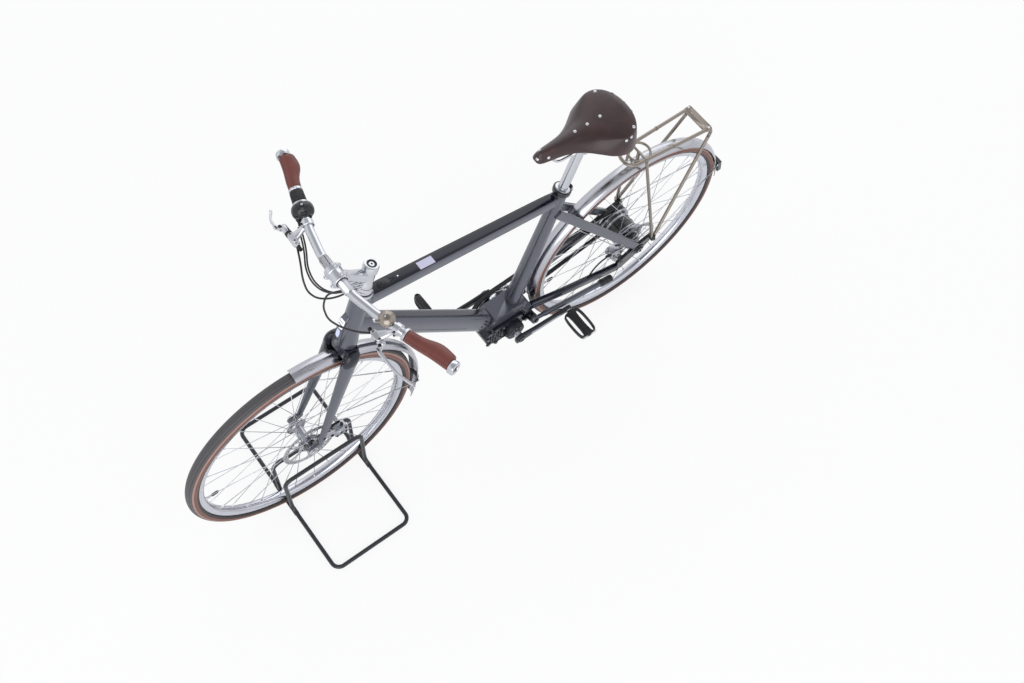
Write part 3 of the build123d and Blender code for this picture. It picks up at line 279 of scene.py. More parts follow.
@dataclass(frozen=True)
class Finish:
    """One material: its colour, how it shines, and the relief and mottling of its surface."""

    name: str
    colour: str
    metallic: float = 0.0
    roughness: float = 0.5
    coat: float = 0.0
    coat_roughness: float = 0.05
    shade: str = ""
    mottle_mm: float = 60.0
    grain: Grain = Grain.EVEN
    grain_mm: float = 1.2
    relief_mm: float = 0.02
    rough_spread: float = 0.06
    glow: float = 0.0
    slot: str = "black_plastic"
    centre: tuple[float, float, float] = (0.0, 0.0, 0.0)

    def material(self) -> bpy.types.Material:
        """Makes the material, or returns it if it has been made.

        Returns:
            The material.
        """
        found = bpy.data.materials.get(self.name)
        if found:
            return found
        made = bpy.data.materials.new(self.name)
        made.use_nodes = True
        tree = made.node_tree
        tree.nodes.clear()
        place = add_node(tree, "ShaderNodeTexCoord").outputs["Object"]
        spot = add_node(tree, "ShaderNodeMapping", {"Location": [-value for value in self.centre]},
                {"Vector": place})
        shader = self._shader(tree, spot.outputs["Vector"])
        add_node(tree, "ShaderNodeOutputMaterial", links={"Surface": shader.outputs["BSDF"]})
        return made

    def _shader(self, tree: bpy.types.NodeTree, place: bpy.types.NodeSocket) -> bpy.types.Node:
        """Builds the shader with its mottled colour, uneven gloss and relief.

        Args:
            tree: the node tree to add to.
            place: the output that gives where a point lies.

        Returns:
            The shader.
        """
        mottle = add_node(tree, "ShaderNodeTexNoise",
                {"Scale": per_metre(self.mottle_mm), "Detail": 4.0, "Roughness": 0.6},
                {"Vector": place})
        colour = add_node(tree, "ShaderNodeMix", {"data_type": "RGBA", 6: linear(self.colour),
                    7: linear(self.shade or self.colour)},
                {"Factor": mottle.outputs["Fac"]})
        relief = self._relief(tree, place)
        low = max(self.roughness - self.rough_spread, 0.02)
        gloss = add_node(tree, "ShaderNodeMapRange", {"To Min": low, "To Max": self.roughness
                    + self.rough_spread}, {"Value": relief})
        bump = add_node(tree, "ShaderNodeBump",
                {"Strength": 1.0, "Distance": self.relief_mm * METRES_PER_MM}, {"Height": relief})
        settings = {"Metallic": self.metallic, "Coat Weight": self.coat,
                "Coat Roughness": self.coat_roughness}
        if self.glow:
            settings["Emission Color"] = linear(self.colour)
            settings["Emission Strength"] = self.glow
        return add_node(tree, "ShaderNodeBsdfPrincipled", settings,
                {"Base Color": self._tinted(tree, colour.outputs[2], place),
                    "Roughness": gloss.outputs["Result"], "Normal": bump.outputs["Normal"]})

    def _tinted(self, tree: bpy.types.NodeTree, colour: bpy.types.NodeSocket,
            place: bpy.types.NodeSocket) -> bpy.types.NodeSocket:
        """Lets a kind of finish add its own marks to the colour; the plain one adds none."""
        return colour

    def _relief(self, tree: bpy.types.NodeTree,
            place: bpy.types.NodeSocket) -> bpy.types.NodeSocket:
        """Makes the height pattern of the surface.

        Args:
            tree: the node tree to add to.
            place: the output that gives where a point lies.

        Returns:
            The height.
        """
        scale = per_metre(self.grain_mm)
        if self.grain is Grain.CELLS:
            cells = add_node(tree, "ShaderNodeTexVoronoi", {"feature": "SMOOTH_F1", "Scale": scale,
                        "Smoothness": 0.4}, {"Vector": place})
            return cells.outputs["Distance"]
        stretch = (1.0, 1.0, 1.0)
        if self.grain is Grain.LONG:
            stretch = (0.04, 1.0, 1.0)
        if self.grain is Grain.ROUND:
            place = self._round(tree, place)
            stretch = (1.0, 0.02, 1.0)
        laid = add_node(tree, "ShaderNodeMapping", {"Scale": stretch}, {"Vector": place})
        noise = add_node(tree, "ShaderNodeTexNoise", {"Scale": scale, "Detail": 3.0,
                    "Roughness": 0.55}, {"Vector": laid.outputs["Vector"]})
        return noise.outputs["Fac"]

    def _round(self, tree: bpy.types.NodeTree, place: bpy.types.NodeSocket) -> bpy.types.NodeSocket:
        """Turns a place into its radius, its way round and its height about the Y axis.

        Args:
            tree: the node tree to add to.
            place: the output that gives where a point lies.

        Returns:
            The three values as one vector.
        """
        split = add_node(tree, "ShaderNodeSeparateXYZ", links={"Vector": place})
        flat = add_node(tree, "ShaderNodeCombineXYZ", links={"X": split.outputs["X"],
                    "Y": split.outputs["Z"]})
        radius = add_node(tree, "ShaderNodeVectorMath", {"operation": "LENGTH"},
                {0: flat.outputs["Vector"]})
        turn = add_node(tree, "ShaderNodeMath", {"operation": "ARCTAN2"},
                {0: split.outputs["Z"], 1: split.outputs["X"]})
        joined = add_node(tree, "ShaderNodeCombineXYZ",
                links={"X": radius.outputs["Value"], "Y": turn.outputs["Value"],
                    "Z": split.outputs["Y"]})
        return joined.outputs["Vector"]


@dataclass(frozen=True)
class Leather(Finish):
    """Waxed cowhide: pores in rounded cells, broad creases, and paler worn patches."""

    crease_mm: float = 26.0
    worn: str = "#6b403a"

    def _relief(self, tree: bpy.types.NodeTree,
            place: bpy.types.NodeSocket) -> bpy.types.NodeSocket:
        """Lays soft creases under the pores of the hide.

        Args:
            tree: the node tree to add to.
            place: the output that gives where a point lies.

        Returns:
            The height.
        """
        pores = add_node(tree, "ShaderNodeTexVoronoi", {"feature": "SMOOTH_F1",
                    "Scale": per_metre(self.grain_mm), "Smoothness": 0.5}, {"Vector": place})
        creases = add_node(tree, "ShaderNodeTexNoise", {"Scale": per_metre(self.crease_mm),
                    "Detail": 5.0, "Roughness": 0.65}, {"Vector": place})
        joined = add_node(tree, "ShaderNodeMath", {"operation": "MULTIPLY_ADD", 1: 1.4},
                {0: creases.outputs["Fac"], 2: pores.outputs["Distance"]})
        return joined.outputs["Value"]

    def _tinted(self, tree: bpy.types.NodeTree, colour: bpy.types.NodeSocket,
            place: bpy.types.NodeSocket) -> bpy.types.NodeSocket:
        """Wears the hide paler in soft patches.

        Args:
            tree: the node tree to add to.
            colour: the output that gives the plain colour.
            place: the output that gives where a point lies.

        Returns:
            The colour with its wear.
        """
        patches = add_node(tree, "ShaderNodeTexNoise", {"Scale": per_metre(self.crease_mm * 1.7),
                    "Detail": 3.0}, {"Vector": place})
        share = add_node(tree, "ShaderNodeMapRange", {"From Min": 0.5, "From Max": 0.8,
                    "To Max": 0.5}, {"Value": patches.outputs["Fac"]})
        worn = add_node(tree, "ShaderNodeMix", {"data_type": "RGBA", 7: linear(self.worn)},
                {"Factor": share.outputs["Result"], 6: colour})
        return worn.outputs[2]


@dataclass(frozen=True)
class Tread(Finish):
    """Moulded tyre rubber with shallow slanted cuts across the tread."""

    cut_mm: float = 9.0

    def _relief(self, tree: bpy.types.NodeTree,
            place: bpy.types.NodeSocket) -> bpy.types.NodeSocket:
        """Cuts bands that run slantwise across the tread, from the way round the axle and the
        width.

        Args:
            tree: the node tree to add to.
            place: the output that gives where a point lies.

        Returns:
            The height.
        """
        laid = add_node(tree, "ShaderNodeSeparateXYZ", links={"Vector": self._round(tree, place)})
        width = add_node(tree, "ShaderNodeMath", {"operation": "ABSOLUTE"}, {0: laid.outputs["Z"]})
        along = add_node(tree, "ShaderNodeMath", {"operation": "MULTIPLY",
                    1: TYRE_R * METRES_PER_MM}, {0: laid.outputs["Y"]})
        slant = add_node(tree, "ShaderNodeMath", {"operation": "MULTIPLY_ADD", 1: 1.6},
                {0: width.outputs["Value"], 2: along.outputs["Value"]})
        turns = add_node(tree, "ShaderNodeMath", {"operation": "MULTIPLY",
                    1: 2 * math.pi * per_metre(self.cut_mm)}, {0: slant.outputs["Value"]})
        wave = add_node(tree, "ShaderNodeMath", {"operation": "SINE"}, {0: turns.outputs["Value"]})
        cuts = add_node(tree, "ShaderNodeMapRange", {"From Min": 0.55, "From Max": 0.85,
                    "To Min": 1.0, "To Max": 0.0}, {"Value": wave.outputs["Value"]})
        return cuts.outputs["Result"]


@dataclass(frozen=True)
class Ribbed(Finish):
    """A moulded part with fine ribs square to one axis."""

    pitch_mm: float = 3.0
    axis: tuple[float, float, float] = (0.0, 1.0, 0.0)

    def _relief(self, tree: bpy.types.NodeTree,
            place: bpy.types.NodeSocket) -> bpy.types.NodeSocket:
        """Makes evenly spaced ribs along the axis.

        Args:
            tree: the node tree to add to.
            place: the output that gives where a point lies.

        Returns:
            The height.
        """
        along = add_node(tree, "ShaderNodeVectorMath", {"operation": "DOT_PRODUCT", 1: self.axis},
                {0: place})
        turns = add_node(tree, "ShaderNodeMath", {"operation": "MULTIPLY",
                    1: 2 * math.pi * per_metre(self.pitch_mm)}, {0: along.outputs["Value"]})
        wave = add_node(tree, "ShaderNodeMath", {"operation": "SINE"}, {0: turns.outputs["Value"]})
        ribs = add_node(tree, "ShaderNodeMapRange", {"From Min": -0.4, "From Max": 0.4},
                {"Value": wave.outputs["Value"]})
        return ribs.outputs["Result"]


# Two-coat metallic paint on aluminium tube: fine flake under clear lacquer gives a soft sheen.
FRAME_GREY = Finish("metallic_grey_paint", "#63656e", 0.55, 0.3, 0.5, 0.06, "#595b65", 90,
        grain_mm=0.8, relief_mm=0.004, slot="frame_paint")
# Dark blue-black lacquer, wet-looking, with a hard white reflection.
NAVY_GLOSS = Finish("navy_gloss_lacquer", "#080b17", 0.1, 0.16, 0.3, 0.03, "#0e132a", 70,
        grain_mm=1.5, relief_mm=0.006, slot="dark_paint")
# Powder-coated steel and aluminium: near black, with small hard highlights.
BLACK_GLOSS = Finish("black_gloss_paint", "#0b0c0f", 0.0, 0.2, 0.35, 0.05, "#16171b", 60,
        relief_mm=0.01, slot="black_paint")
# Powder-coated wire: its slight orange peel spreads each highlight.
BLACK_WIRE = Finish("black_powder_coat", "#1d1f24", 0.1, 0.38, 0.25, 0.2, "#2a2d33", 45,
        grain_mm=2.0, relief_mm=0.05)
# Rolled aluminium sheet, satin, with faint lines from the rollers.
GUARD_METAL = Finish("satin_rolled_aluminium", "#c6c6ca", 1.0, 0.2, 0.0, shade="#bcbcc2",
        mottle_mm=120, grain=Grain.ROUND, grain_mm=6.0, relief_mm=0.002, rough_spread=0.05,
        slot="aluminium")
# Forged and polished aluminium: bright, with soft-edged mirror streaks.
POLISHED = Finish("polished_aluminium", "#d6d7da", 1.0, 0.12, shade="#cacbd0", mottle_mm=50,
        grain_mm=3.0, relief_mm=0.003, rough_spread=0.05, slot="polished")
# Extruded rim, turned and anodised clear: fine rings round it soften the shine.
RIM_METAL = Finish("clear_anodised_rim", "#dcdde3", 1.0, 0.2, shade="#cfd0d8", mottle_mm=80,
        grain=Grain.ROUND, grain_mm=3.0, relief_mm=0.0015, slot="polished")
# Machined aluminium castings of hubs and brake bodies: paler and duller than polish.
CAST_METAL = Finish("machined_aluminium_casting", "#bdbfc4", 1.0, 0.28, shade="#a6a8ae",
        mottle_mm=30, grain_mm=0.7, relief_mm=0.012, slot="aluminium")
# Drawn stainless wire: thin bright lines along spokes and stays.
BRIGHT_WIRE = Finish("drawn_stainless_wire", "#d2d3d6", 1.0, 0.22, shade="#c2c3c7", mottle_mm=40,
        relief_mm=0.001)
# Ground stainless steel of the brake discs: a fan of light from its round scratches.
DISC_STEEL = Finish("ground_stainless_disc", "#c3c4c6", 1.0, 0.22, shade="#b2b3b6", mottle_mm=25,
        grain=Grain.ROUND, grain_mm=1.0, relief_mm=0.003, slot="steel")
# Nickel-chrome plate on rivets and bolts: points of mirror light.
CHROME = Finish("chrome_plate", "#dadbdd", 1.0, 0.07, shade="#cfd0d3", rough_spread=0.03,
        relief_mm=0.004, slot="steel")
# Turned and lacquered brass of the bell: greyed gold with a sharp spot.
BRASS = Finish("lacquered_brass", "#aaa196", 1.0, 0.22, 0.2, 0.1, "#90857a", 12, grain_mm=1.5,
        relief_mm=0.01, slot="brass")
# Satin champagne powder on the rack's steel tube: a warm grey with a broad soft line.
CHAMPAGNE = Finish("champagne_powder_coat", "#9b9288", 0.8, 0.3, 0.3, 0.15, "#8a8076", 70,
        grain_mm=1.0, relief_mm=0.02, slot="rack_paint")
# Moulded black nylon: a fine spark-eroded grain keeps it dull.
BLACK_NYLON = Finish("moulded_black_nylon", "#17181a", 0.0, 0.45, 0.0, shade="#202124",
        grain_mm=0.6, relief_mm=0.04)
# Injection-moulded housings: black with clear reflections.
BLACK_ABS = Finish("gloss_black_abs", "#0b0b0e", 0.0, 0.18, 0.25, 0.04, "#15151a", grain_mm=4.0,
        relief_mm=0.006)
# Die-cast motor case: black e-coat over a sandy casting, speckled in the light.
MOTOR_CAST = Finish("black_motor_casting", "#15161a", 0.35, 0.42, 0.15, 0.3, "#232530", 25,
        Grain.CELLS, 1.6, 0.06, slot="motor_case")
# Dark anodised forging of the cranks: charcoal with a satin line.
CRANK_GREY = Finish("dark_anodised_forging", "#2c2e33", 0.7, 0.34, 0.2, 0.15, "#37393f", 30,
        relief_mm=0.01, slot="steel")
# Extruded EPDM over the hoses: black with a soft long highlight.
HOSE = Finish("black_hose_sleeve", "#101114", 0.0, 0.35, 0.2, 0.2, "#191a1e", 20, grain_mm=0.8,
        relief_mm=0.02, slot="hose")
# Polyurethane belt: cross ribs break its matt black into bars.
BELT = Ribbed("ribbed_polyurethane_belt", "#0f1012", 0.0, 0.5, shade="#1a1b1e", pitch_mm=5.5,
        axis=(1.0, 0.0, 0.3), relief_mm=0.8, slot="belt")
# Rubber compound of the tread, dusty grey where it rolls.
REAR_TREAD = Tread("rear_tyre_tread", "#4b494b", 0.0, 0.44, shade="#565354", mottle_mm=120,
        relief_mm=0.22, centre=tuple(REAR_AXLE * METRES_PER_MM), slot="tyre")
FRONT_TREAD = Tread("front_tyre_tread", "#4b494b", 0.0, 0.44, shade="#565354", mottle_mm=120,
        relief_mm=0.22, centre=tuple(FRONT_AXLE * METRES_PER_MM), slot="tyre")
# Black rubber between the bands and at the beads: a dull, warm near-black.
SIDE_BLACK = Finish("black_sidewall_rubber", "#2e2a2b", 0.0, 0.5, shade="#3a3433", mottle_mm=60,
        grain_mm=1.0, relief_mm=0.05, slot="tyre")
# Paler band of the skinwall next to the tread: matt tan.
SIDE_LIGHT = Finish("pale_brown_sidewall", "#a5857c", 0.0, 0.55, shade="#967469", mottle_mm=45,
        grain_mm=1.4, relief_mm=0.08, slot="tyre")
# Brown rubber side of the casing: matt, and redder than the band above it.
SIDEWALL = Finish("brown_tyre_sidewall", "#7d564b", 0.0, 0.55, shade="#6b4840", mottle_mm=45,
        grain_mm=1.4, relief_mm=0.08, slot="tyre")
# Vegetable-tanned saddle hide, waxed and rubbed: dark red-brown with a broad sheen.
SADDLE_HIDE = Leather("waxed_saddle_hide", "#351b1b", 0.0, 0.32, 0.25, 0.18, "#2c1817", 40,
        grain_mm=1.6, relief_mm=0.22, worn="#563230", slot="saddle_leather")
# Softer, redder hide wrapped on the grips: pores and creases with little shine.
GRIP_HIDE = Leather("stitched_grip_hide", "#7b3b30", 0.0, 0.42, 0.15, 0.3, "#5f2c26", 18,
        grain_mm=1.3, relief_mm=0.25, worn="#8a4a40", slot="grip_leather")
# Clear moulded lenses: a wet shine over a cut or frosted body.
RED_LENS = Finish("red_moulded_lens", "#7a0d10", 0.0, 0.15, 1.0, 0.03, "#4f080a", 8, Grain.CELLS,
        3.0, 0.3, slot="red_lens")
WHITE_LENS = Finish("frosted_white_lens", "#f2f4fa", 0.0, 0.2, 1.0, 0.05, "#e2e6f2", 8,
        relief_mm=0.05, glow=0.35)
BLUE_LIGHT = Finish("lavender_running_light", "#c9d0f2", 0.0, 0.25, 0.6, 0.05, "#b6bfe8", 8,
        relief_mm=0.02, glow=0.25)
# Plain paper label, left blank: flat and pale.
PAPER_LABEL = Finish("blank_paper_label", "#d9d8ee", 0.0, 0.55, shade="#cfcde6", mottle_mm=14,
        grain_mm=0.4, relief_mm=0.02)
# Flax thread rubbed with wax: a darker, dry line in the leather.
THREAD = Finish("waxed_linen_thread", "#4a221d", 0.0, 0.7, shade="#5a2b25", grain_mm=0.5,
        relief_mm=0.1, slot="grip_leather")


# ---- mesh making ----
class Shape:
    """A mesh in the making, in millimetres, shaped by mesh operators."""

    def __init__(self) -> None:
        """Starts with nothing."""
        self.bm = bmesh.new()

    def lathe(self, profile: Sequence[tuple[float, float]], origin: Vector, axis: Vector,
            steps: int = 64, closed: bool = False) -> "Shape":
        """Spins a profile of (radius, distance along the axis) pairs all the way round.

        Args:
            profile: pairs of a radius and a distance along the axis.
            origin: where the distance is zero.
            axis: what it turns round.
            steps: facets round it.
            closed: whether the last pair joins the first.

        Returns:
            This shape.
        """
        points = [self.bm.verts.new((radius, 0.0, along)) for radius, along in profile]
        edges = [self.bm.edges.new(pair) for pair in zip(points, points[1:])]
        if closed:
            edges.append(self.bm.edges.new((points[-1], points[0])))
        before = set(self.bm.verts) - set(points)
        bmesh.ops.spin(self.bm, geom=points + edges, axis=(0, 0, 1), cent=(0, 0, 0), steps=steps,
                angle=2 * math.pi, use_merge=True, use_duplicate=False)
        made = [vert for vert in self.bm.verts if vert not in before]
        bmesh.ops.remove_doubles(self.bm, verts=made, dist=0.001)
        made = [vert for vert in self.bm.verts if vert not in before]
        self.face_out(made)
        bmesh.ops.transform(self.bm, matrix=aligned(origin, axis), verts=made)
        return self

    def face_out(self, verts: Sequence[bmesh.types.BMVert]) -> None:
        """Points the faces of the newest vertices outwards.

        Args:
            verts: the vertices of the faces to turn.
        """
        mine = set(verts)
        faces = [face for face in self.bm.faces if face.verts[0] in mine]
        bmesh.ops.recalc_face_normals(self.bm, faces=faces)

    def rod(self, start: Vector, end: Vector, radius: float, end_radius: float | None = None,
            sides: int = 24, edge: float = 0.0) -> "Shape":
        """Adds a round bar, tapered if a second radius is given, with its end edges broken.

        Args:
            start: the middle of one end.
            end: the middle of the other.
            radius: the radius at the start.
            end_radius: the radius at the end, if it differs.
            sides: facets round it.
            edge: how wide its end edges are broken.

        Returns:
            This shape.
        """
        middle = (start + end) / 2
        made = bmesh.ops.create_cone(self.bm, cap_ends=True, segments=sides, radius1=radius,
                radius2=radius if end_radius is None else end_radius,
                depth=(end - start).length, matrix=aligned(middle, end - start))
        if edge:
            rims = dict.fromkeys(e for vert in made["verts"] for e in vert.link_edges
                    if any(len(face.verts) > 4 for face in e.link_faces))
            self._break(list(rims), edge, 2)
        return self

    def _break(self, edges: list, width: float, segments: int) -> None:
        """Bevels edges by a width."""
        bmesh.ops.bevel(self.bm, geom=edges, offset=width, offset_type="OFFSET", segments=segments,
                profile=0.5, affect="EDGES", clamp_overlap=True, material=-1)

    def box(self, size: Sequence[float], frame: Matrix, edge: float = 1.0,
            segments: int = 2) -> "Shape":
        """Adds a box centred on a matrix, with its edges broken.

        Args:
            size: its length along each axis.
            frame: where it lies.
            edge: how wide its edges are broken.
            segments: facets across a broken edge.

        Returns:
            This shape.
        """
        made = bmesh.ops.create_cube(self.bm, size=1.0,
                matrix=frame @ Matrix.Diagonal((*size, 1.0)))
        if edge:
            edges = dict.fromkeys(e for vert in made["verts"] for e in vert.link_edges)
            self._break(list(edges), edge, segments)
        return self

    def prism(self, outline: Sequence[tuple[float, float]], frame: Matrix, depth: float,
            edge: float = 0.6, inset: float = 0.0, sunk: float = 0.0) -> "Shape":
        """Raises an outline into a plate along the matrix's Z, with a sunk panel on top if one is
        asked for.

        Args:
            outline: its corners in order.
            frame: where the outline lies.
            depth: the thickness of the plate.
            edge: how wide its edges are broken.
            inset: the rim left round the sunk panel.
            sunk: how deep the panel lies.

        Returns:
            This shape.
        """
        verts = [self.bm.verts.new((x, y, 0.0)) for x, y in outline]
        low = self.bm.faces.new(verts)
        raised = bmesh.ops.extrude_face_region(self.bm, geom=[low])["geom"]
        lifted = [item for item in raised if isinstance(item, bmesh.types.BMVert)]
        top = [item for item in raised if isinstance(item, bmesh.types.BMFace)]
        bmesh.ops.translate(self.bm, vec=(0, 0, depth), verts=lifted)
        mine = verts + lifted
        if inset:
            bmesh.ops.inset_region(self.bm, faces=top, thickness=inset, depth=0.0)
            panel = bmesh.ops.inset_region(self.bm, faces=top, thickness=min(inset, sunk),
                    depth=-sunk)
            mine += [v for face in panel["faces"] + top for v in face.verts]
        mine = list(dict.fromkeys(v for vert in mine for face in vert.link_faces
                    for v in face.verts))
        self.face_out(mine)
        bmesh.ops.transform(self.bm, matrix=frame, verts=mine)
        if edge:
            sharp = dict.fromkeys(e for vert in mine for e in vert.link_edges
                    if len(e.link_faces) == 2 and e.calc_face_angle(0) > 0.6)
            self._break(list(sharp), edge, 2)
        return self

    def loft(self, rings: Sequence[tuple[Matrix, float, float]], sides: int = 32,
            square: float = 2.0, cap: bool = True) -> "Shape":
        """Joins ovals set square to a run: each has a matrix, a half width along its X and one
        along its Y.

        Args:
            rings: the ovals in order.
            sides: points on each.
            square: 2 for an ellipse, more for squarer corners.
            cap: whether both ends are closed.

        Returns:
            This shape.
        """
        loops = []
        for frame, wide, deep in rings:
            made = bmesh.ops.create_circle(self.bm, cap_ends=False, segments=sides,
                    radius=1.0)["verts"]
            for vert in made:
                for axis in (0, 1):
                    value = vert.co[axis]
                    vert.co[axis] = math.copysign(abs(value) ** (2.0 / square), value)
            bmesh.ops.transform(self.bm, matrix=frame @ Matrix.Diagonal((wide, deep, 1.0, 1.0)),
                    verts=made)
            loops.append(made)
        for first, second in zip(loops, loops[1:]):
            start, near = set(first), set(first) | set(second)
            edges = [e for e in self.bm.edges if e.verts[0] in near and e.verts[1] in near
                    and (e.verts[0] in start) == (e.verts[1] in start) and len(e.link_faces) < 2]
            bmesh.ops.bridge_loops(self.bm, edges=edges)
        if cap:
            for loop in (loops[0], loops[-1]):
                mine = set(loop)
                bmesh.ops.edgeloop_fill(self.bm, edges=[e for e in self.bm.edges
                            if e.verts[0] in mine and e.verts[1] in mine])
        self.face_out([vert for loop in loops for vert in loop])
        return self

    def stretch(self, origin: Vector, run: Vector, across: Vector,
            rows: Sequence[tuple[float, float, float]], sides: int = 32,
            square: float = 2.0) -> "Shape":
        """Joins ovals set along a straight run."""
        rings = [(aligned(origin + run * step, run, across), wide, deep)
                for step, wide, deep in rows]
        return self.loft(rings, sides, square)

    def pipe(self, points: Sequence[Vector], radius: float, order: int = 3,
            sides: int = 5) -> "Shape":
        """Adds a round wire along a smooth line.

        Args:
            points: the control points of the line.
            radius: the wire's radius.
            order: 2 for straight runs, 3 or 4 for smooth ones.
            sides: how finely it is rounded.

        Returns:
            This shape.
        """
        curve = bpy.data.curves.new("pipe", "CURVE")
        curve.dimensions = "3D"
        curve.bevel_depth = radius
        curve.bevel_resolution = sides
        curve.use_fill_caps = True
        curve.resolution_u = 12
        spline = curve.splines.new("NURBS")
        spline.points.add(len(points) - 1)
        for knot, place in zip(spline.points, points):
            knot.co = (*place, 1.0)
        spline.order_u = min(order, len(points))
        spline.use_endpoint_u = True
        holder = bpy.data.objects.new("pipe", curve)
        mesh = bpy.data.meshes.new_from_object(holder)
        self.bm.from_mesh(mesh)
        bpy.data.meshes.remove(mesh)
        bpy.data.objects.remove(holder)
        bpy.data.curves.remove(curve)
        return self

    def bend(self, profile: Sequence[tuple[float, float]], centre: Vector, first: float,
            last: float, steps: int = 96) -> "Shape":
        """Bends a closed profile of (radius, side) pairs round an axle, between two angles from
        ahead over the top.

        Args:
            profile: the section.
            centre: the axle's middle.
            first: the first angle in degrees.
            last: the last angle.
            steps: the number of runs between them.

        Returns:
            This shape.
        """
        before = set(self.bm.verts)
        verts = [self.bm.verts.new((radius, side, 0.0)) for radius, side in profile]
        face = self.bm.faces.new(verts)
        bmesh.ops.spin(self.bm, geom=[*verts, *face.edges, face], axis=(0, -1, 0), cent=(0, 0, 0),
                steps=steps, angle=math.radians(last - first), use_duplicate=False)
        made = [vert for vert in self.bm.verts if vert not in before]
        self.face_out(made)
        turn = Matrix.Rotation(math.radians(first), 4, Vector((0, -1, 0)))
        bmesh.ops.transform(self.bm, matrix=Matrix.Translation(centre) @ turn, verts=made)
        return self

    def dome(self, place: Vector, axis: Vector, radius: float, height: float) -> "Shape":
        """Adds a rivet's domed head.

        Args:
            place: the middle of the head's foot.
            axis: the way that it faces.
            radius: its radius.
            height: its height.

        Returns:
            This shape.
        """
        profile = [(0, height), (radius * 0.5, height * 0.86), (radius * 0.85, height * 0.5),
                (radius, 0), (radius * 0.9, -height * 0.6), (0, -height * 0.6)]
        return self.lathe(profile, place, axis, 20)

    def bolt(self, place: Vector, axis: Vector, radius: float, height: float) -> "Shape":
        """Adds a round bolt head with a socket in it.

        Args:
            place: the middle of the head's foot.
            axis: the way that it faces.
            radius: its radius.
            height: its height.

        Returns:
            This shape.
        """
        profile = [(0, height * 0.4), (radius * 0.5, height * 0.45), (radius * 0.56, height),
                (radius * 0.88, height), (radius, height * 0.8), (radius, -0.5), (0, -0.5)]
        return self.lathe(profile, place, axis, 20)


def show(name: str, bm: bmesh.types.BMesh, crease: float) -> bpy.types.Object:
    """Puts a finished mesh in the scene as a smooth-shaded object.

    Args:
        name: the object's name.
        bm: its mesh in metres, which is freed.
        crease: the angle in degrees above which an edge looks sharp.

    Returns:
        The object.
    """
    mesh = bpy.data.meshes.new(name)
    bm.to_mesh(mesh)
    bm.free()
    mesh.polygons.foreach_set("use_smooth", [True] * len(mesh.polygons))
    mesh.set_sharp_from_angle(angle=math.radians(crease))
    obj = bpy.data.objects.new(name, mesh)
    bpy.context.scene.collection.objects.link(obj)
    return obj


def hand_over(obj: bpy.types.Object, finish: Finish, body: str,
        stands_for: Sequence[str] = ()) -> None:
    """Dresses a piece, sets it on its body and says what it stands for.

    Args:
        obj: the piece.
        finish: its material.
        body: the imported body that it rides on.
        stands_for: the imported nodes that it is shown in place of.
    """
    obj.data.materials.clear()
    obj.data.materials.append(finish.material())
    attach(obj, body)
    if stands_for:
        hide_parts(*stands_for)
    LOG.info("%s: %d faces", obj.name, len(obj.data.polygons))


def piece(name: str, shape: Shape, finish: Finish, body: str, stands_for: Sequence[str] = (),
        rounds: int = 0, crease: float = 35.0) -> bpy.types.Object:
    """Turns a shape into a finished piece.

    Args:
        name: the piece's name.
        shape: its mesh in millimetres.
        finish: its material.
        body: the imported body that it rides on.
        stands_for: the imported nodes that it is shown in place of.
        rounds: levels of subdivision.
        crease: the angle in degrees above which an edge looks sharp.

    Returns:
        The new object.
    """
    bmesh.ops.scale(shape.bm, vec=(METRES_PER_MM,) * 3, verts=shape.bm.verts)
    obj = show(name, shape.bm, crease)
    if rounds:
        finer = obj.modifiers.new("finer", "SUBSURF")
        finer.levels = rounds
        finer.render_levels = rounds
    hand_over(obj, finish, body, stands_for)
    return obj


@dataclass(frozen=True)
class Carried:
    """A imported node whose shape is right: it is shown as a merged copy with its edges broken."""

    node: str
    finish: Finish
    edge: float = 0.6

    def build(self, frame: dict) -> bpy.types.Object:
        """Makes the copy and dresses it.

        Args:
            frame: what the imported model's loading returned.

        Returns:
            The new object.
        """
        source = frame["nodes"][self.node]
        bm = bmesh.new()
        bm.from_mesh(source.data)
        bmesh.ops.remove_doubles(bm, verts=bm.verts, dist=0.00002)
        if self.edge:
            bmesh.ops.dissolve_limit(bm, angle_limit=math.radians(1.0), verts=bm.verts,
                    edges=bm.edges)
        obj = show(f"{self.node}_made", bm, 32)
        if self.edge:
            broken = obj.modifiers.new("broken edge", "BEVEL")
            broken.width = self.edge * METRES_PER_MM
            broken.segments = 2
            broken.limit_method = "ANGLE"
            broken.angle_limit = math.radians(40)
        hand_over(obj, self.finish, source["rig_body"], [self.node])
        return obj


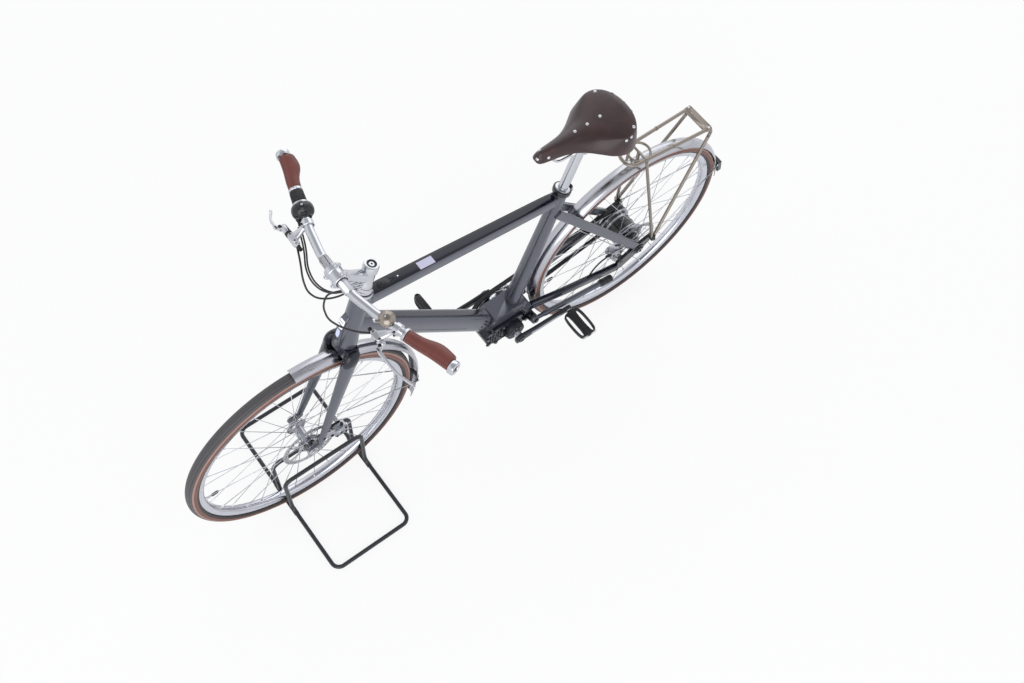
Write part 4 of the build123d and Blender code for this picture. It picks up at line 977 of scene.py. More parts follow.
# ---- wheels ----
@dataclass
class Wheel:
    """One spoked wheel: a tyre with brown sides, a hollow rim, laced spokes, a valve and a brake
    disc.
    """

    name: str
    axle: Vector
    tread: Finish
    hub: Finish
    flange_r: float
    left_y: float
    right_y: float
    lace: float
    disc_y: float
    disc_hub_r: float
    hub_profile: Sequence[tuple[float, float]]
    sections_r: float = 327.0

    @property
    def body(self) -> str:
        """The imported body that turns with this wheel."""
        return f"{self.name}_wheel"

    def build(self) -> list[bpy.types.Object]:
        """Makes the whole wheel."""
        return [*self._tyre(), self._rim(), *self._spoke_ends(), *self._valve(), *self._disc(),
                self._hub()]

    def _piece(self, part: str, shape: Shape, finish: Finish, stands_for: Sequence[str] = (),
            crease: float = 35.0) -> bpy.types.Object:
        """Finishes one piece of this wheel."""
        return piece(f"{self.name}_{part}", shape, finish, self.body, stands_for,
                crease=crease)

    def _band(self, shape: Shape, radius: float, first: float, last: float) -> None:
        """Lays a thin band of rubber over the casing on both sides of the tyre.

        Args:
            shape: the mesh to add to.
            radius: the band's outer radius in the tyre's section.
            first: its first angle in the section.
            last: its last angle.
        """
        for side in (1, -1):
            outer = arc(self.sections_r, radius, side * first, side * last, 8)
            inner = arc(self.sections_r, radius - 1.2, side * last, side * first, 8)
            shape.lathe(outer + inner, self.axle, LEFT, 160, closed=True)

    def _tyre(self) -> list[bpy.types.Object]:
        """The dark casing with its beads, the grooved tread, and two brown bands on each side.

        Returns:
            The finished pieces.
        """
        casing = arc(self.sections_r, 18.3, -126, 126, 40) + arc(self.sections_r, 16.3, 126, -126,
                40)
        carcass = Shape().lathe(casing, self.axle, LEFT, 160, closed=True)
        crown = []
        for first, last, radius in ((-54, -37, 18.95), (-36.2, -32.6, 18.2), (-31.8, -13, 19.0),
                (-12.2, -9, 18.3), (-8.2, 8.2, 19.0), (9, 12.2, 18.3), (13, 31.8, 19.0),
                (32.6, 36.2, 18.2), (37, 54, 18.95)):
            crown += arc(self.sections_r, radius, first, last, 4)
        crown += arc(self.sections_r, 17.4, 54, -54, 20)
        tread = Shape().lathe(crown, self.axle, LEFT, 160, closed=True)
        light, deep = Shape(), Shape()
        self._band(light, 18.8, 56.5, 74)
        self._band(deep, 18.75, 77.5, 101)
        return [self._piece("casing", carcass, SIDE_BLACK, [f"{self.name}_tyre"]),
                self._piece("tread", tread, self.tread, crease=60),
                self._piece("light_sides", light, SIDE_LIGHT),
                self._piece("brown_sides", deep, SIDEWALL)]

    def _rim(self) -> bpy.types.Object:
        """A box-section rim with hooked edges, a well between them and rounded shoulders.

        Returns:
            The rim.
        """
        half = [(316, 13), (314.6, 13.1), (313, 12.2), (305, 12.7), (301, 10.6), (298.4, 7.2),
                (297.2, 3.2)]
        well = [(307, 0), (308, 6), (311, 11), (315.6, 11.2)]
        mirrored = [(radius, -side) for radius, side in reversed(half)]
        inside = [(radius, -side) for radius, side in reversed(well[1:])] + well
        shape = Shape().lathe(half + mirrored + inside, self.axle, LEFT, 160, closed=True)
        return self._piece("rim_made", shape, RIM_METAL, [f"{self.name}_rim"], 50)

    def _spoke_ends(self) -> list[bpy.types.Object]:
        """A nipple at the rim and a bent head at the flange for every spoke.

        Returns:
            The finished pieces.
        """
        nipples, heads = Shape(), Shape()
        for side_y, phase in ((self.left_y, 0.0), (self.right_y, 11.25)):
            outward = 1 if side_y > 0 else -1
            for index in range(16):
                lean = 1 if index % 2 else -1
                rim_turn = math.radians(index * 22.5 + phase)
                hub_turn = rim_turn + lean * math.radians(self.lace)
                hole_y = side_y + outward * lean * (2.5 + (2.0 if lean > 0 else 0.2))
                hole_r = self.flange_r - 4
                start = self.axle + Vector((math.cos(hub_turn) * hole_r, hole_y,
                            math.sin(hub_turn) * hole_r))
                end = self.axle + Vector((math.cos(rim_turn) * 296.7, outward * 3.25,
                            math.sin(rim_turn) * 296.7))
                run = (end - start).normalized()
                nipples.lathe([(0, -13), (1.5, -13), (1.7, -11.5), (1.7, -2.5), (2.6, -1.6),
                            (2.6, 1.5), (0, 1.5)], end, run, 10)
                heads.dome(start, LEFT * (outward * lean), 2.3, 1.2)
        return [self._piece("spoke_nipples", nipples, CHROME),
                self._piece("spoke_heads", heads, CHROME)]

    def _valve(self) -> list[bpy.types.Object]:
        """A brass valve with a ring nut and a black cap, on the side of the rim that faces forward.

        Returns:
            The finished pieces.
        """
        turn = math.radians(-3)
        inward = -Vector((math.cos(turn), 0, math.sin(turn)))
        foot = self.axle - inward * 297.5
        stem = Shape().lathe([(0, 0), (5, 0), (5, 1.6), (3, 2), (3, 20), (2.4, 21), (0, 21)], foot,
                inward, 20)
        cap = Shape().lathe([(0, 17), (3.7, 17), (4, 18), (4, 31), (3, 36), (1.6, 38), (0, 38)],
                foot, inward, 20)
        return [self._piece("valve", stem, CHROME),
                self._piece("valve_cap", cap, BLACK_NYLON)]

    def _disc(self) -> list[bpy.types.Object]:
        """A slotted brake rotor on six swept arms, its centre held by bolts.

        Returns:
            The finished pieces.
        """
        band = Shape()
        points = [band.bm.verts.new((radius, 0, 0)) for radius in (66, 68.5, 71.5, 74.5, 77.5, 80)]
        edges = [band.bm.edges.new(pair) for pair in zip(points, points[1:])]
        bmesh.ops.spin(band.bm, geom=points + edges, axis=(0, 0, 1), cent=(0, 0, 0), steps=144,
                angle=2 * math.pi, use_merge=True, use_duplicate=False)
        bmesh.ops.remove_doubles(band.bm, verts=band.bm.verts, dist=0.001)
        slots = []
        for face in band.bm.faces:
            middle = face.calc_center_median()
            column = int(math.degrees(math.atan2(middle.y, middle.x)) % 360 / 2.5)
            row = int((middle.xy.length - 66) / 2.9)
            if 0 < row < 4 and (column + row) % 4 == 0:
                slots.append(face)
        bmesh.ops.delete(band.bm, geom=slots, context="FACES")
        bmesh.ops.solidify(band.bm, geom=band.bm.faces[:], thickness=1.8)
        middle = self.axle + LEFT * self.disc_y
        bmesh.ops.transform(band.bm, matrix=aligned(middle, LEFT), verts=band.bm.verts)
        band.face_out(band.bm.verts)
        arms = Shape()
        for index in range(6):
            frame = aligned(middle, LEFT) @ Matrix.Rotation(math.radians(60 * index), 4, "Z")
            outline = [(22, -4), (30, 3), (48, 14), (67, 20), (69, 27), (60, 24), (40, 18), (20, 6)]
            arms.prism(outline, frame, 1.8, 0.2)
        arms.lathe([(self.disc_hub_r, 0), (26, 0), (26, 1.8), (self.disc_hub_r, 1.8)], middle, LEFT,
                48, closed=True)
        carrier = Shape().lathe([(self.disc_hub_r, 1.8), (20, 1.8), (19, 3.4),
                    (self.disc_hub_r, 3.4)], middle, LEFT, 48, closed=True)
        bolts = Shape()
        for index in range(6):
            turn = math.radians(60 * index + 15)
            bolts.bolt(middle + Vector((math.cos(turn) * 22.5, 1.8, math.sin(turn) * 22.5)), LEFT,
                    2.6, 1.6)
        return [self._piece("disc_band", band, DISC_STEEL, [f"{self.name}_disc"], 30),
                self._piece("disc_arms", arms, DISC_STEEL),
                self._piece("disc_carrier", carrier, BLACK_GLOSS),
                self._piece("disc_bolts", bolts, CHROME)]

    def _hub(self) -> bpy.types.Object:
        """The hub's turned shell with its two drilled flanges."""
        shape = Shape().lathe(self.hub_profile, self.axle, LEFT, 64, closed=True)
        return self._piece("hub_made", shape, self.hub, [f"{self.name}_hub"], 25)


# ---- mudguards ----
@dataclass
class Mudguard:
    """A rolled aluminium blade with beaded edges."""

    name: str
    centre: Vector
    radius: float
    first: float
    last: float
    body: str
    clip_at: float
    width: float = 42.0
    crown: float = 11.0
    thick: float = 1.5

    @property
    def arch(self) -> float:
        """The radius of the blade's arched section."""
        return ((self.width / 2) ** 2 + self.crown ** 2) / (2 * self.crown)

    def build(self) -> list[bpy.types.Object]:
        """Makes the blade, its beads, and the clip and bolts that hold it.

        Returns:
            The finished pieces.
        """
        middle = self.radius - self.arch
        spread = math.degrees(math.asin(self.width / 2 / self.arch))
        outer = arc(middle, self.arch, -spread, spread, 18)
        ridge = [(r + (0.5 if abs(y) < 3 else 0), y) for r, y in outer]
        inner = arc(middle, self.arch - self.thick, spread, -spread, 18)
        blade = Shape().bend(ridge + inner, self.centre, self.first, self.last, 110)
        edge_r, edge_y = outer[-1]
        for side in (1, -1):
            bead = [(edge_r - 0.3 + 1.5 * math.cos(turn), side * (edge_y - 1.2)
                        + 1.5 * math.sin(turn))
                    for turn in (math.tau * step / 10 for step in range(10))]
            blade.bend(bead, self.centre, self.first, self.last, 110)
        clip, bolts = self._clip()
        return [piece(f"{self.name}_made", blade, GUARD_METAL, self.body, [self.name], crease=50),
                piece(f"{self.name}_clip", clip, BLACK_NYLON, self.body),
                piece(f"{self.name}_bolts", bolts, CHROME, self.body)]

    def _clip(self) -> tuple[Shape, Shape]:
        """A moulded bridge across the blade where its stays meet it, with a bolt at each end.

        Returns:
            The bridge and its bolts.
        """
        middle = self.radius - self.arch
        spread = math.degrees(math.asin(self.width / 2 / self.arch))
        across = arc(middle, self.arch + 2.6, -spread - 2, spread + 2, 16)
        back = arc(middle, self.arch - self.thick - 2.0, spread + 2, -spread - 2, 16)
        half = math.degrees(7 / self.radius)
        clip = Shape().bend(across + back, self.centre, self.clip_at - half, self.clip_at + half, 3)
        bolts = Shape()
        turn = math.radians(self.clip_at)
        out = Vector((math.cos(turn), 0, math.sin(turn)))
        for side in (1, -1):
            place = self.centre + out * (self.radius - self.crown + 4) + LEFT * (side
                    * (self.width / 2 + 1.4))
            bolts.bolt(place, LEFT * side, 3.4, 2.4)
        bolts.dome(self.centre + out * (self.radius + 2.4), out, 3.2, 1.8)
        return clip, bolts


# ---- saddle ----
@dataclass
class Saddle:
    """A stretched leather saddle: a domed top, a ridge down each side of the nose, and flared
    skirts.
    """

    rim: tuple = ((377, 0), (376, 9), (368, 16), (345, 20), (310, 24), (280, 32), (250, 47),
            (222, 67), (195, 86), (165, 94.5), (138, 91), (116, 76), (102, 52), (94.5, 26), (92, 0))
    ridge: tuple = ((370, 0), (368, 5), (360, 9), (343, 12.5), (308, 16), (280, 19), (252, 24),
            (224, 33), (197, 56), (166, 79), (140, 80), (119, 67), (106, 47), (99, 24), (97, 0))
    hem: tuple = ((80, 949), (140, 952), (257, 982), (390, 998))
    top: float = 1021.4
    around: int = 96

    def build(self) -> list[bpy.types.Object]:
        """Makes the shell and its rivets.

        Returns:
            The finished pieces.
        """
        shell = self._shell()
        from_shell = BVHTree.FromBMesh(shell.bm)
        rivets = Shape()
        for x, y, z in ((176.5, -3, 1020), (216, -3, 1020), (253.8, -3, 1019), (357, -6, 1016),
                (370, 4, 1006), (347, 17, 1006), (137, -70, 1012), (104, -42, 1012),
                (102, 25, 1010), (128, 66, 1008), (147, 84, 1007), (163, 88, 1006),
                (104, -5, 1008)):
            place, normal, _, _ = from_shell.find_nearest(at(x, y, z))
            rivets.dome(place, normal, 4.2, 1.7)
        bmesh.ops.solidify(shell.bm, geom=shell.bm.faces[:], thickness=4.5)
        return [piece("saddle_shell", shell, SADDLE_HIDE, "frame", ["saddle"], rounds=1, crease=60),
                piece("saddle_rivets", rivets, CHROME, "frame")]

    def _hem_z(self, x: float) -> float:
        """The height of the skirt's lower edge.

        Args:
            x: how far forward of the rear axle.

        Returns:
            The height.
        """
        for (x0, z0), (x1, z1) in zip(self.hem, self.hem[1:]):
            if x <= x1:
                return z0 + (z1 - z0) * (x - x0) / (x1 - x0)
        return self.hem[-1][1]

    def _ring(self, shape: Shape, spread: float, flare: float,
            fall: float) -> list[bmesh.types.BMVert]:
        """Lays one closed ring of the shell.

        Args:
            shape: the mesh to add it to.
            spread: 0 on the spine, 1 on the ridge.
            flare: 0 on the ridge, 1 on the hem's outline.
            fall: the share of the way down from the ridge to the hem.

        Returns:
            The ring's vertices in order.
        """
        verts = bmesh.ops.create_circle(shape.bm, cap_ends=False, segments=self.around,
                radius=1.0)["verts"]
        half = self.around / 2
        for index, vert in enumerate(verts):
            share = index / half if index <= half else (self.around - index) / half
            side = 1 if index <= half else -1
            (x_in, y_in), (x_out, y_out) = eased(self.ridge, share), eased(self.rim, share)
            spine_x = min(max(x_in, 118.0), 358.0)
            x = spine_x + (x_in - spine_x) * spread + (x_out - x_in) * flare
            y = max(y_in, 0) * spread + (max(y_out, 0) - max(y_in, 0)) * flare
            sag = 4.5 * math.sin(math.pi * min(max((x - 92) / 285, 0), 1)) ** 2
            brow = self.top - sag - 7.5 * spread ** 2.4
            z = brow - (brow - self._hem_z(x)) * fall
            vert.co = at(x, side * y, z)
        return verts

    def _shell(self) -> Shape:
        """Joins the rings from the spine to the hem.

        Returns:
            The shell, one face thick.
        """
        shape = Shape()
        rings = [(0, 0, 0), (0.25, 0, 0), (0.5, 0, 0), (0.72, 0, 0), (0.88, 0, 0), (1, 0, 0),
                (1, 0.22, 0.07), (1, 0.5, 0.26), (1, 0.75, 0.52), (1, 0.93, 0.8), (1, 1, 1)]
        loops = [self._ring(shape, *ring) for ring in rings]
        for first, second in zip(loops, loops[1:]):
            edges = [vert_pair_edge(a, b) for loop in (first, second) for a, b in zip(loop, loop[1:]
                        + loop[:1])]
            bmesh.ops.bridge_loops(shape.bm, edges=edges)
        bmesh.ops.remove_doubles(shape.bm, verts=shape.bm.verts, dist=0.02)
        shape.face_out(shape.bm.verts)
        return shape


def vert_pair_edge(first: bmesh.types.BMVert, second: bmesh.types.BMVert) -> bmesh.types.BMEdge:
    """The edge between two neighbouring vertices."""
    return next(edge for edge in first.link_edges if edge.other_vert(first) == second)


# ---- grips ----
@dataclass
class Grip:
    """A leather grip sewn along its underside, between a clamp ring and a plug at the bar's end."""

    side: int
    seam_angle: float = 215.0
    stitch: float = 5.5

    @property
    def length(self) -> float:
        """How long the leather is."""
        return GRIP_LENGTHS[self.side]

    @property
    def name(self) -> str:
        """Which grip it is."""
        return "left_grip" if self.side > 0 else "right_grip"

    def build(self) -> list[bpy.types.Object]:
        """Makes the padded sleeve and its seam.

        Returns:
            The finished pieces.
        """
        end = bar_point(-1, self.side)
        inward = (bar_point(-2, self.side) - end).normalized()
        back = (-FORWARD + inward * inward.x).normalized()
        outer = end + inward * 16
        ovals = ((18.5, 16.5, 5.0), (19.6, 17, 6.4), (20.6, 16.7, 7.6), (21, 16.5, 8),
                (20.3, 16.4, 7), (18.6, 16, 4.6), (17, 15.7, 2.2), (16.2, 15.5, 0.8),
                (15.6, 15.4, 0.3), (15.5, 15.4, 0))
        rings = [(0.0, 0.84), (0.012, 0.95), (0.03, 1.0), *[(0.03 + 0.94 * step / 16, 1.0)
                    for step in range(1, 17)], (0.988, 0.95), (1.0, 0.84)]
        sleeve, seam = Shape(), Shape()
        frames = []
        for share, size in rings:
            deep, tall, shift = eased(ovals, share)
            middle = outer + inward * (self.length * share) + back * shift
            frames.append((aligned(middle, inward, back), deep * size, tall * size))
        sleeve.loft(frames, sides=40)
        for step in range(int(self.length / self.stitch) - 1):
            share = 0.05 + 0.9 * step / (self.length / self.stitch - 2)
            deep, tall, shift = eased(ovals, share)
            frame = aligned(outer + inward * (self.length * share) + back * shift, inward, back)
            turn = math.radians(self.seam_angle * self.side)
            across = [frame @ Vector((deep * math.cos(turn + lean), tall * math.sin(turn + lean),
                            slope))
                    for lean, slope in ((-0.13, -1.2), (0.13, 1.2))]
            seam.rod(across[0], across[1], 0.75, sides=8)
        return [piece(f"{self.name}_sleeve", sleeve, GRIP_HIDE, "steering", [self.name], crease=60),
                piece(f"{self.name}_seam", seam, THREAD, "steering")]


@dataclass
class BarEnds:
    """The plug at each end of the bar and the polished ring inside each grip."""

    def build(self) -> list[bpy.types.Object]:
        """Makes both plugs, both rings, and the dark sockets of the plugs.

        Returns:
            The finished pieces.
        """
        metal, dark = Shape(), Shape()
        for side, length in GRIP_LENGTHS.items():
            end = bar_point(-1, side)
            inward = (bar_point(-2, side) - end).normalized()
            metal.lathe([(0, 3.4), (8.5, 3.4), (9.5, 0.6), (14.5, 0.2), (16.4, 1.6), (17, 4),
                        (17, 12.6), (16.2, 14), (0, 14)], end, inward, 48)
            dark.lathe([(3.2, 3.2), (3.2, 2.2), (8.4, 2.2), (8.4, 3.6), (3.2, 3.6)], end, inward,
                    32, closed=True)
            dark.lathe([(0, 5.0), (3.0, 5.0), (3.0, 2.6), (0, 2.6)], end, inward, 6)
            start = end + inward * (16.2 + length)
            metal.lathe([(11.2, 0), (15.6, 0), (16.5, 0.9), (16.5, 6), (15.6, 7), (11.2, 7)], start,
                    inward, 48, closed=True)
            clamp = (-FORWARD + inward * inward.x).normalized()
            metal.bolt(start + inward * 3.5 + UP * 15.6, (UP + clamp * 0.3).normalized(), 2.4, 2.0)
        return [piece("bar_end_metal", metal, POLISHED, "steering", ["bar_ends"]),
                piece("bar_end_sockets", dark, BLACK_NYLON, "steering")]


# ---- frame ----
@dataclass
class FrameTubes:
    """The top tube with its dark inlay and controls, the down tube with its dark spine, and the
    welds.
    """

    seat_wide: float = 31.9
    widening: float = 6.1
    seat_deep: float = 33.6
    deepening: float = 6.4
    inlay_rear: float = 22.0
    inlay_front: float = 26.0
    lid_drop: float = 0.12

    def build(self) -> list[bpy.types.Object]:
        """Makes the dressed tubes."""
        return [*self._top_tube(), *self._down_tube(), self._seat_tube(), *self._welds()]

    @staticmethod
    def _ring(place: Vector, run: Vector, wide: float, deep: float) -> tuple[Matrix, float, float]:
        """One section of a tube: its width lies across the bicycle."""
        return aligned(place, run, LEFT), wide / 2, deep / 2

    def _top_size(self, share: float) -> tuple[float, float]:
        """The top tube's width and depth at a share of its length from the seat."""
        return self.seat_wide + self.widening * share, self.seat_deep + self.deepening * share

    def _top_tube(self) -> list[bpy.types.Object]:
        """The tube, a lacquered inlay along its top, a plain pale label, and the control with its
        light.

        Returns:
            The finished pieces.
        """
        rear, front = SEAT_TOP - SEAT_UP * 30, steer(HEAD_TOP_S - 38)
        run = (front - rear).normalized()
        length = (front - rear).length
        above = upward(run.cross(LEFT))
        sizes = [(share, *self._top_size(share)) for share in (0, 0.15, 0.35, 0.6, 0.85, 1)]
        tube = Shape().loft([self._ring(rear + run * length * share, run, wide, deep)
                    for share, wide, deep in sizes], 48, 4.2)
        inlay, edges = Shape(), Shape()
        low, high = self.inlay_rear / length, 1 - self.inlay_front / length
        rings, lines = [], {1: [], -1: []}
        for share, shrink in ((low, 0.5), (low + 0.006, 0.85), (low + 0.015, 1), (0.3, 1),
                (0.55, 1), (0.8, 1), (high - 0.015, 1), (high - 0.006, 0.85), (high, 0.5)):
            wide, deep = self._top_size(share)
            place = rear + run * length * share + above * (deep / 2 - 1.6)
            rings.append((aligned(place, run, LEFT), (wide / 2 - 3.2) * shrink, 2.4))
            for side in (1, -1):
                lines[side].append(place + LEFT * (side * ((wide / 2 - 3.0) * shrink))
                        + above * 1.0)
        inlay.loft(rings, 40, 3.2)
        for points in lines.values():
            edges.pipe(points, 0.5, 3, 2)
        made = [piece("top_tube_made", tube, FRAME_GREY, "frame", ["top_tube"], crease=40),
                piece("top_tube_inlay", inlay, NAVY_GLOSS, "frame", crease=50),
                piece("top_tube_joint_lines", edges, BLACK_NYLON, "frame")]

        def seat(share: float, side: float = 0.0, lift: float = 0.0) -> Vector:
            """A place on the inlay's upper face."""
            half = self._top_size(share)[1] / 2
            return rear + run * length * share + LEFT * side + above * (half + 0.8 + lift)

        label = Shape().box((44, 22, 0.5), Matrix.Translation(seat(0.695, 3, 0.15)) @ basis(run,
                    LEFT), 0.2, 1)
        pad = Shape().loft([(aligned(seat(0.893, 0, -1.2), above, run), 17, 11),
                    (aligned(seat(0.893, 0, 0.5), above, run), 17, 11),
                    (aligned(seat(0.893, 0, 0.9), above, run), 15.5, 9.6)], 40, 2.3)
        ring = Shape().lathe([(7.2, -0.4), (8.4, -0.4), (8.4, 0.7), (7.2, 0.7)], seat(0.91, 0, 0.5),
                above, 40, closed=True)
        ring.pipe([seat(0.872 - 0.03 * step / 4, 4.6 - 4.0 * step / 4, 0.7) for step in range(5)]
                + [seat(0.842 + 0.03 * step / 4, -0.6 - 4.0 * step / 4, 0.7) for step in range(5)],
                0.45, 3, 2)
        light = Shape().dome(seat(0.826, 0, 0.3), above, 2.0, 0.7)
        made += [piece("blank_label", label, PAPER_LABEL, "frame"),
                piece("control_pad", pad, BLACK_ABS, "frame", crease=40),
                piece("control_ring", ring, CRANK_GREY, "frame"),
                piece("control_light", light, WHITE_LENS, "frame")]
        return made

    def _down_tube(self) -> list[bpy.types.Object]:
        """The battery tube: soft-cornered, with a dark spine along its top and a lid seam on its
        sides.

        Returns:
            The finished pieces.
        """
        front, rear = steer(HEAD_S + 75), CRANK_AXLE + Vector((60, 0, 42))
        run = (front - rear).normalized()
        length = (front - rear).length
        above = upward(run.cross(LEFT))
        rings, spine = [], []
        seams = {1: [], -1: []}
        for share in (0.045, 0.2, 0.4, 0.6, 0.8, 0.9, 1.0):
            wide, deep = 52 - 4.2 * share, 62 - 5 * share
            place = rear + run * length * share
            rings.append((aligned(place, run, LEFT), wide / 2, deep / 2))
            if 0.05 < share < 0.95:
                spine.append((aligned(place + above * (deep / 2 - 1.3), run, LEFT), wide * 0.24,
                            1.9))
                for side in (1, -1):
                    seams[side].append(place + LEFT * (side * (wide / 2 - 0.1))
                            - above * deep * self.lid_drop)
        spine.insert(0, (aligned(rear + run * length * 0.1 + above * 28.7, run, LEFT), 12.3, 1.9))
        tube = Shape().loft(rings, 56, 3.0)
        dark = Shape().loft(spine, 32, 3.2)
        lines = Shape()
        for points in seams.values():
            lines.pipe(points, 0.45, 3, 2)
        return [piece("down_tube_made", tube, FRAME_GREY, "frame", ["down_tube"], crease=40),
                piece("down_tube_spine", dark, NAVY_GLOSS, "frame", crease=50),
                piece("down_tube_seams", lines, BLACK_NYLON, "frame")]

    def _seat_tube(self) -> bpy.types.Object:
        """A dark line up the seat tube's front: painted shade standing for the shadow along its
        groove.

        Returns:
            The line.
        """
        line = Shape()
        foot, top = SEAT_FOOT + SEAT_UP * 48, SEAT_TOP - SEAT_UP * 66
        side = LEFT * 10
        ahead = -SEAT_UP.cross(LEFT)
        if ahead.x < 0:
            ahead = -ahead
        points = [foot + (top - foot) * (step / 8) + ahead * (17.2 + 1.7 * step / 8)
                + side * (0.4 + 0.5 * step / 8)
                for step in range(9)]
        line.pipe(points, 1.1, 3, 3)
        # painted shade: a thin black strip where the groove's shadow falls on the seat tube
        return piece("seat_tube_painted_groove_shade", line, BLACK_GLOSS, "frame")

    def _welds(self) -> list[bpy.types.Object]:
        """Smoothed weld beads round the joints of the main tubes, and bosses for the cables.

        Returns:
            The finished pieces.
        """
        beads = Shape()
        for place, axis, across, wide, deep, square in (
                (steer(HEAD_TOP_S - 38) - FORWARD * 26.5, steer(HEAD_TOP_S - 38) - SEAT_TOP, LEFT,
                    19.4, 20.3, 4.2), (SEAT_TOP - SEAT_UP * 31 + FORWARD * 19.5,
                    steer(HEAD_TOP_S - 38) - SEAT_TOP, LEFT, 16.4, 17.3, 4.2)):
            beads.loft([(aligned(place + axis.normalized() * step, axis, across), wide + swell,
                            deep + swell)
                        for step, swell in ((-4.0, -1.0), (-2.4, 0.8), (0, 1.3), (2.4, 0.8),
                            (4.0, -1.0))], 48, square)
        bosses = Shape()
        bosses.lathe([(0, 2.6), (2.4, 2.6), (4.4, 1.6), (5.2, -1.0), (0, -1.0)],
                CRANK_AXLE + Vector((96, 24.4, 78)), LEFT, 20)
        bosses.bolt(SEAT_TOP + SEAT_UP * -1 - FORWARD * 25.2 + LEFT * 6.5, LEFT, 3.6, 3.6)
        bosses.rod(SEAT_TOP - FORWARD * 25.2 - LEFT * 8 - SEAT_UP, SEAT_TOP - FORWARD * 25.2
                + LEFT * 8 - SEAT_UP, 4.6, edge=0.8)
        return [piece("frame_welds", beads, FRAME_GREY, "frame", crease=60),
                piece("frame_bolts", bosses, BLACK_GLOSS, "frame")]


